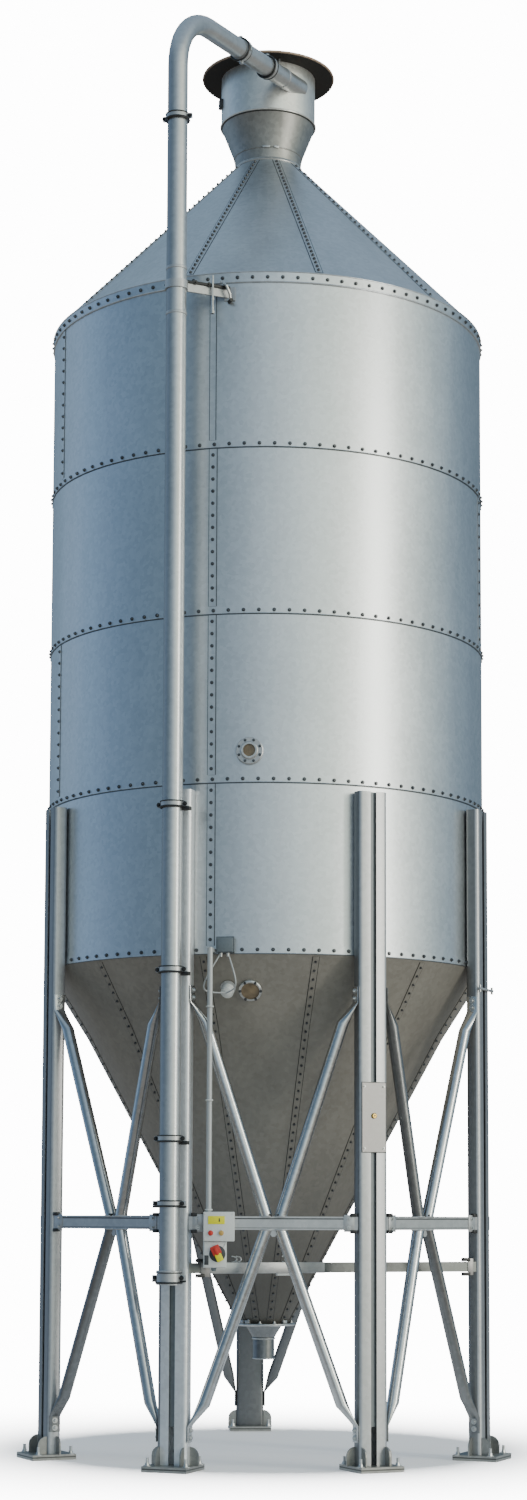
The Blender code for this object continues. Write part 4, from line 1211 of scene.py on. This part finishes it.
class SILO_OT_fittings(Operator):
    """Dress the control gear, windows, sensor and cover plate"""

    bl_idname = "silo.fittings"
    bl_label = "Fittings"

    def execute(self, context):
        for node, finish in FLAT_FITTINGS:
            coat(node, finish)
        for node, finish, slot in ROUND_FITTINGS:
            smooth_copy(node, finish)
        self.control_gear()
        self.windows()
        self.sensor()
        self.leg_parts()
        return {"FINISHED"}

    def gear_bench(self, node):
        """Bench at the middle of a housing, turned as the front beam is."""
        beam, _ = bay("front_left", "front_right", 0.0)
        return Bench(middle(node), beam.along, beam.out)

    def control_gear(self):
        """Lid, yellow plate, lamps and screws of the control box; lid, dial and gland of the isolator; clips."""
        parts = Piece("control_gear")
        box, switch = self.gear_bench("control_box"), self.gear_bench("isolator_switch")
        tall = top_z("control_box") - base_z("control_box")
        parts.box(box.at(0.0, 0.0, 0.055), (0.165, tall + 0.003, 0.014), "grey_plastic", 0.005)
        parts.box(box.at(-0.014, 0.034, 0.0635), (0.088, 0.042, 0.003), "yellow_plastic", 0.001)
        parts.box(box.at(0.002, 0.034, 0.0655), (0.006, 0.018, 0.002), "dark_plastic", 0.0005)
        for shift, finish in ((-0.044, "red_plastic"), (0.012, "amber_lens")):
            lamp = aim(box.point(shift, -0.034, 0.062), box.out)
            parts.turned(lamp, LENS, finish, 24)
            parts.hoop(lamp, 0.0155, 0.001, 0.0022, "grey_plastic", 24, 6)
        for sideways in (-0.072, 0.072):
            for rise in (-0.066, 0.066):
                parts.rod(box.point(sideways, rise, 0.061), box.point(sideways, rise, 0.064), 0.004,
                          "grey_plastic", 8)
        tall = top_z("isolator_switch") - base_z("isolator_switch")
        parts.box(switch.at(0.0, 0.0, 0.0465), (0.118, tall - 0.004, 0.012), "grey_plastic", 0.006)
        disc = switch.point(0.012, 0.004, 0.0525)
        parts.turned(aim(disc, switch.out), DIAL, "dark_plastic", 40)
        self.handle(parts, disc, switch)
        parts.box(switch.at(-0.045, -0.030, 0.052), (0.022, 0.050, 0.004), "dark_plastic", 0.001)
        parts.tube([switch.point(*spot) for spot in LID_LIP], 0.004, "grey_plastic", 8)
        gland = switch.point(-0.006, -tall / 2.0)
        parts.rod(gland, gland - UP * 0.018, 0.016, "junction_plastic", 14, 0.011)
        parts.box(box.at(-0.096, 0.030, -0.030), (0.030, 0.046, 0.006), "stand_steel", 0.001)
        stem = Vector((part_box("conduit")[0].x + 0.017, switch.point(0.0, 0.0, 0.0425).y + 0.046, 0.0))
        for height in (base_z("conduit") + 0.012, 1.95, 2.45):
            parts.hoop(aim(stem + UP * height, UP), 0.0165, 0.0, 0.005, "grey_plastic", 20, 6)
        parts.done("grey_plastic")

    def handle(self, parts, disc, switch):
        """Turning handle of the isolator: red above, yellow below, leaning to the left."""
        lean = (switch.along * -0.42 + UP * 0.91).normalized()
        cross = (switch.along * 0.91 + UP * 0.42).normalized()
        grip = Bench(disc, cross, switch.out, lean)
        parts.box(grip.at(0.0, 0.020, 0.014), (0.048, 0.050, 0.018), "red_plastic", 0.004)
        parts.box(grip.at(0.0, -0.020, 0.014), (0.036, 0.046, 0.018), "yellow_plastic", 0.004)
        parts.box(grip.at(0.0, 0.014, 0.024), (0.016, 0.040, 0.010), "red_plastic", 0.003)

    def windows(self):
        """Frames, panes and bolt rings of the sight glasses on the wall and on the hopper."""
        parts = Piece("sight_glass_frames")
        height = middle("sight_glass_hopper").z
        wall = facing(azimuth_of(middle("sight_glass_wall")), DRUM_R + 0.0143, middle("sight_glass_wall").z)
        low = facing(-3.9, hopper_radius(height) + 0.0146, height, hopper_tilt(height))
        seats = []
        for place, turnings, bolts, shift, radius, proud in ((wall, WALL_GLASS, 8, 0.5, 0.061, 0.003),
                                                             (low, HOPPER_GLASS, 6, 0.0, 0.056, 0.007)):
            for profile, finish, segments in turnings:
                parts.turned(place, profile, finish, segments)
            for i in range(bolts):
                angle = 2.0 * math.pi * (i + shift) / bolts
                point = Vector((radius * math.cos(angle), radius * math.sin(angle), proud))
                seats.append((place @ point, place.to_3x3() @ UP))
        parts.done("sheet_steel")
        fasteners("sight_glass_bolts", seats, 0.0062, 0.008, "seam_bolt", 1.3)

    def sensor(self):
        """Seat and cap of the level sensor, and its two cable loops from the junction box."""
        parts = Piece("sensor_trim")
        azimuth, height = azimuth_of(middle("level_sensor")), middle("level_sensor").z
        seat = facing(azimuth, hopper_radius(height + 0.02), height + 0.02, hopper_tilt(height))
        parts.turned(seat, SENSOR_SEAT, "stand_steel", 28)
        parts.turned(seat, SENSOR_CAP, "grey_plastic", 28)
        azimuth = azimuth_of(middle("junction_box"))
        box = Bench(middle("junction_box"), tangent(azimuth), radial(azimuth))
        parts.box(box.at(0.0, 0.0, 0.022), (0.084, 0.074, 0.008), "junction_plastic", 0.003)
        parts.box(box.at(0.0, 0.0, 0.016), (0.098, 0.088, 0.006), "dark_plastic", 0.002)
        goal = seat @ Vector((0.0, 0.0, 0.068))
        loop = Bench(Vector(), box.along, box.out)
        for shift, drop, swing in ((-0.026, 0.20, -0.10), (0.012, 0.15, 0.055)):
            start = box.point(shift, -0.041)
            points = []
            for share in [i / 16.0 for i in range(17)]:
                bow = math.sin(math.pi * share)
                sag = drop * bow * (0.5 - 0.175 * share)
                points.append(start.lerp(goal, share) + loop.point(swing * bow, -sag, 0.045 * bow))
            parts.tube(points, 0.0042, "conduit_plastic", 8)
            parts.rod(start + UP * 0.002, start - UP * 0.022, 0.010, "bolt_steel", 12, 0.008)
        parts.done("grey_plastic")

    def leg_parts(self):
        """Screws and lock of the cover plate on the front right leg, and the strap on the right leg."""
        parts = Piece("leg_plate_trim")
        plate = leg_bench("front_right", middle("leg_cover_plate").z)
        tall = top_z("leg_cover_plate") - base_z("leg_cover_plate")
        face = LEG_D + 0.0045
        seats = [(plate.point(sideways, rise, face), plate.out)
                 for sideways in (-0.058, 0.058) for rise in (-0.165, 0.165)]
        parts.box(plate.at(0.0, 0.0, LEG_D + 0.0011), (COVER_W + 0.008, tall + 0.008, 0.0015), "dark_plastic")
        lock = plate.at(0.0, 0.008, face)
        parts.turned(lock, LOCK, "brass", 24)
        parts.turned(lock, KEYHOLE, "dark_plastic", 10)
        strap = leg_bench("right", STRAP_Z)
        parts.box(strap.at(0.0, 0.0, LEG_D + 0.010), (LEG_W + 0.050, 0.012, 0.020), "stand_steel", 0.002)
        for sideways in (-LEG_W / 2.0 - 0.014, LEG_W / 2.0 + 0.014):
            parts.rod(strap.point(sideways, -0.020, LEG_D + 0.012), strap.point(sideways, 0.020, LEG_D + 0.012),
                      0.007, "bolt_steel", 10)
        parts.done()
        fasteners("leg_plate_bolts", seats, 0.0055, 0.007, "bolt_steel", 1.3)


# Light of the surround, seen level from the silo, by azimuth in degrees; then overhead and below
SURROUND = (
    (-180.0, (0.14, 0.20, 0.27)), (-150.0, (0.22, 0.32, 0.43)), (-124.0, (0.42, 0.58, 0.78)),
    (-105.0, (0.31, 0.48, 0.72)),
    (-78.0, (0.17, 0.27, 0.42)), (-58.0, (0.15, 0.24, 0.34)), (-36.0, (0.20, 0.29, 0.37)),
    (-12.0, (0.40, 0.52, 0.63)), (12.0, (1.00, 1.15, 1.20)), (32.0, (1.60, 1.75, 1.55)),
    (48.0, (1.73, 1.76, 1.50)), (62.0, (1.80, 1.78, 1.52)), (80.0, (1.03, 1.18, 1.11)),
    (105.0, (0.34, 0.48, 0.58)), (121.0, (0.20, 0.30, 0.42)), (146.0, (0.12, 0.20, 0.28)),
    (180.0, (0.14, 0.20, 0.27)),
)
ZENITH = (0.345, 0.475, 0.62)
GROUND = (0.30, 0.29, 0.27)
SKY_STRENGTH = 4.0
BACKDROP = 14.0
# Soft box: azimuth, distance and height; the height that it faces; size, power and colour
KEY_PLACE = (56.0, 11.0, 5.0)
KEY_AIM_Z = 4.0
KEY_SIZE = (1.3, 8.5)
KEY_POWER = 430.0
KEY_COLOUR = (1.0, 0.96, 0.88)
# Camera that was fitted to the photo: pixels, then degrees and metres
PHOTO_H = 1500
FOCAL_PX = 2556.3
SHIFT_PX = 192.0
PITCH = 6.0
ROLL = 0.214
CAMERA_X = -0.0096
# Floor: outer radius, radius that is solid, glow
FLOOR_REACH = 4.2
FLOOR_SOLID = 1.3
FLOOR_GLOW = 0.30


class SILO_OT_stage(Operator):
    """Floor, studio light and the camera"""

    bl_idname = "silo.stage"
    bl_label = "Stage"

    def execute(self, context):
        self.floor()
        self.sky(context.scene)
        self.key_light(context.scene)
        self.camera(context.scene)
        return {"FINISHED"}

    def floor(self):
        """Pale round floor that thins out to nothing at its edge."""
        bm = bmesh.new()
        bmesh.ops.create_circle(bm, cap_ends=True, segments=96, radius=FLOOR_REACH)
        mesh = bpy.data.meshes.new("studio_floor")
        bm.to_mesh(mesh)
        bm.free()
        obj = bpy.data.objects.new("studio_floor", mesh)
        bpy.context.scene.collection.objects.link(obj)
        finish = Finish("studio_floor_paint")
        shade = finish.ramp(finish.noise(0.4, 2.0), [(0.3, (0.92, 0.92, 0.91)), (0.7, (0.95, 0.95, 0.94))])
        finish.surface(shade, 0.75, 0.0)
        finish.feed(finish.shader.inputs["Emission Color"], (1.0, 1.0, 0.98))
        finish.feed(finish.shader.inputs["Emission Strength"], FLOOR_GLOW)
        distance = finish.value("ShaderNodeVectorMath", {"operation": "LENGTH"}, {0: finish.place}, "Value")
        fade = ((FLOOR_REACH - distance) * (1.0 / (FLOOR_REACH - FLOOR_SOLID))).clipped()
        finish.feed(finish.shader.inputs["Alpha"], fade * fade)
        mesh.materials.append(finish.material)

    def sky(self, scene):
        """Studio surround that lights the silo by direction, with a plain white backdrop for the camera."""
        world = bpy.data.worlds.new("studio_surround")
        scene.world = world
        world.use_nodes = True
        graph = Graph(world.node_tree)
        x, y, z = graph.split(graph.value("ShaderNodeTexCoord", output="Generated"))
        azimuth = x.turn_from(y * -1.0) * (0.5 / math.pi) + 0.5
        top = SKY_STRENGTH
        stops = [((angle + 180.0) / 360.0, tint(colour, 1.0 / top)) for angle, colour in SURROUND]
        level = graph.ramp(azimuth, stops)
        above = graph.mix(((z - 0.46) * 3.5).clipped(), level, tint(ZENITH, 1.0 / top))
        whole = graph.mix((z * -5.0 - 0.1).clipped(), above, tint(GROUND, 1.0 / top))
        light = graph.tree.nodes["Background"]
        graph.feed(light.inputs["Color"], whole)
        graph.feed(light.inputs["Strength"], top)
        white = graph.value("ShaderNodeBackground", None, {"Color": (1.0, 1.0, 1.0), "Strength": BACKDROP})
        seen = graph.value("ShaderNodeLightPath", output="Is Camera Ray")
        both = graph.value("ShaderNodeMixShader", None, {0: seen, 1: light.outputs[0], 2: white})
        graph.feed(graph.tree.nodes["World Output"].inputs["Surface"], both)

    def key_light(self, scene):
        """Tall soft box at the right front, for a soft edge to the shadows."""
        light = bpy.data.lights.new("key_box", "AREA")
        light.shape = "RECTANGLE"
        light.size, light.size_y = KEY_SIZE
        light.energy = KEY_POWER
        light.color = KEY_COLOUR
        lamp = bpy.data.objects.new("key_box", light)
        scene.collection.objects.link(lamp)
        position = on_drum(*KEY_PLACE)
        lamp.matrix_world = aim(position, position - AXIS - UP * KEY_AIM_Z)
        lamp.visible_camera = False

    def camera(self, scene):
        sizes = scene.silo_sizes
        data = bpy.data.cameras.new("photo_camera")
        data.sensor_width = 36.0
        data.lens = FOCAL_PX / PHOTO_H * data.sensor_width
        data.shift_y = SHIFT_PX / PHOTO_H
        data.clip_end = 300.0
        camera = bpy.data.objects.new("photo_camera", data)
        scene.collection.objects.link(camera)
        camera.location = (AXIS.x + CAMERA_X, AXIS.y - sizes.camera_distance, sizes.camera_height)
        level = Matrix.Rotation(math.radians(90.0 + PITCH), 3, "X")
        camera.rotation_euler = (level @ Matrix.Rotation(math.radians(ROLL), 3, "Z")).to_euler()
        scene.camera = camera


class SILO_PT_panel(Panel):
    """Steps that dress the silo"""

    bl_label = "Pellet silo"
    bl_idname = "SILO_PT_panel"
    bl_space_type = "VIEW_3D"
    bl_region_type = "UI"
    bl_category = "Silo"

    def draw(self, context):
        for group in (context.scene.silo_sizes, context.scene.silo_colours):
            for name in group.__annotations__:
                self.layout.prop(group, name)
        for step in STEPS:
            self.layout.operator(step.bl_idname)


STEPS = (SILO_OT_finishes, SILO_OT_stage, SILO_OT_drum, SILO_OT_roof, SILO_OT_hopper, SILO_OT_stand,
         SILO_OT_fill_pipe, SILO_OT_fittings)
CLASSES = (SiloSizes, SiloColours, *STEPS, SILO_PT_panel)


def register():
    for item in CLASSES:
        bpy.utils.register_class(item)
    bpy.types.Scene.silo_sizes = PointerProperty(type=SiloSizes)
    bpy.types.Scene.silo_colours = PointerProperty(type=SiloColours)


def unregister():
    del bpy.types.Scene.silo_colours
    del bpy.types.Scene.silo_sizes
    for item in reversed(CLASSES):
        bpy.utils.unregister_class(item)


def main():
    register()
    for step in STEPS:
        group, name = step.bl_idname.split(".")
        result = getattr(getattr(bpy.ops, group), name)()
        if "FINISHED" not in result:
            raise RuntimeError(f"{step.bl_label} did not finish")


if __name__ == "__main__":
    main()
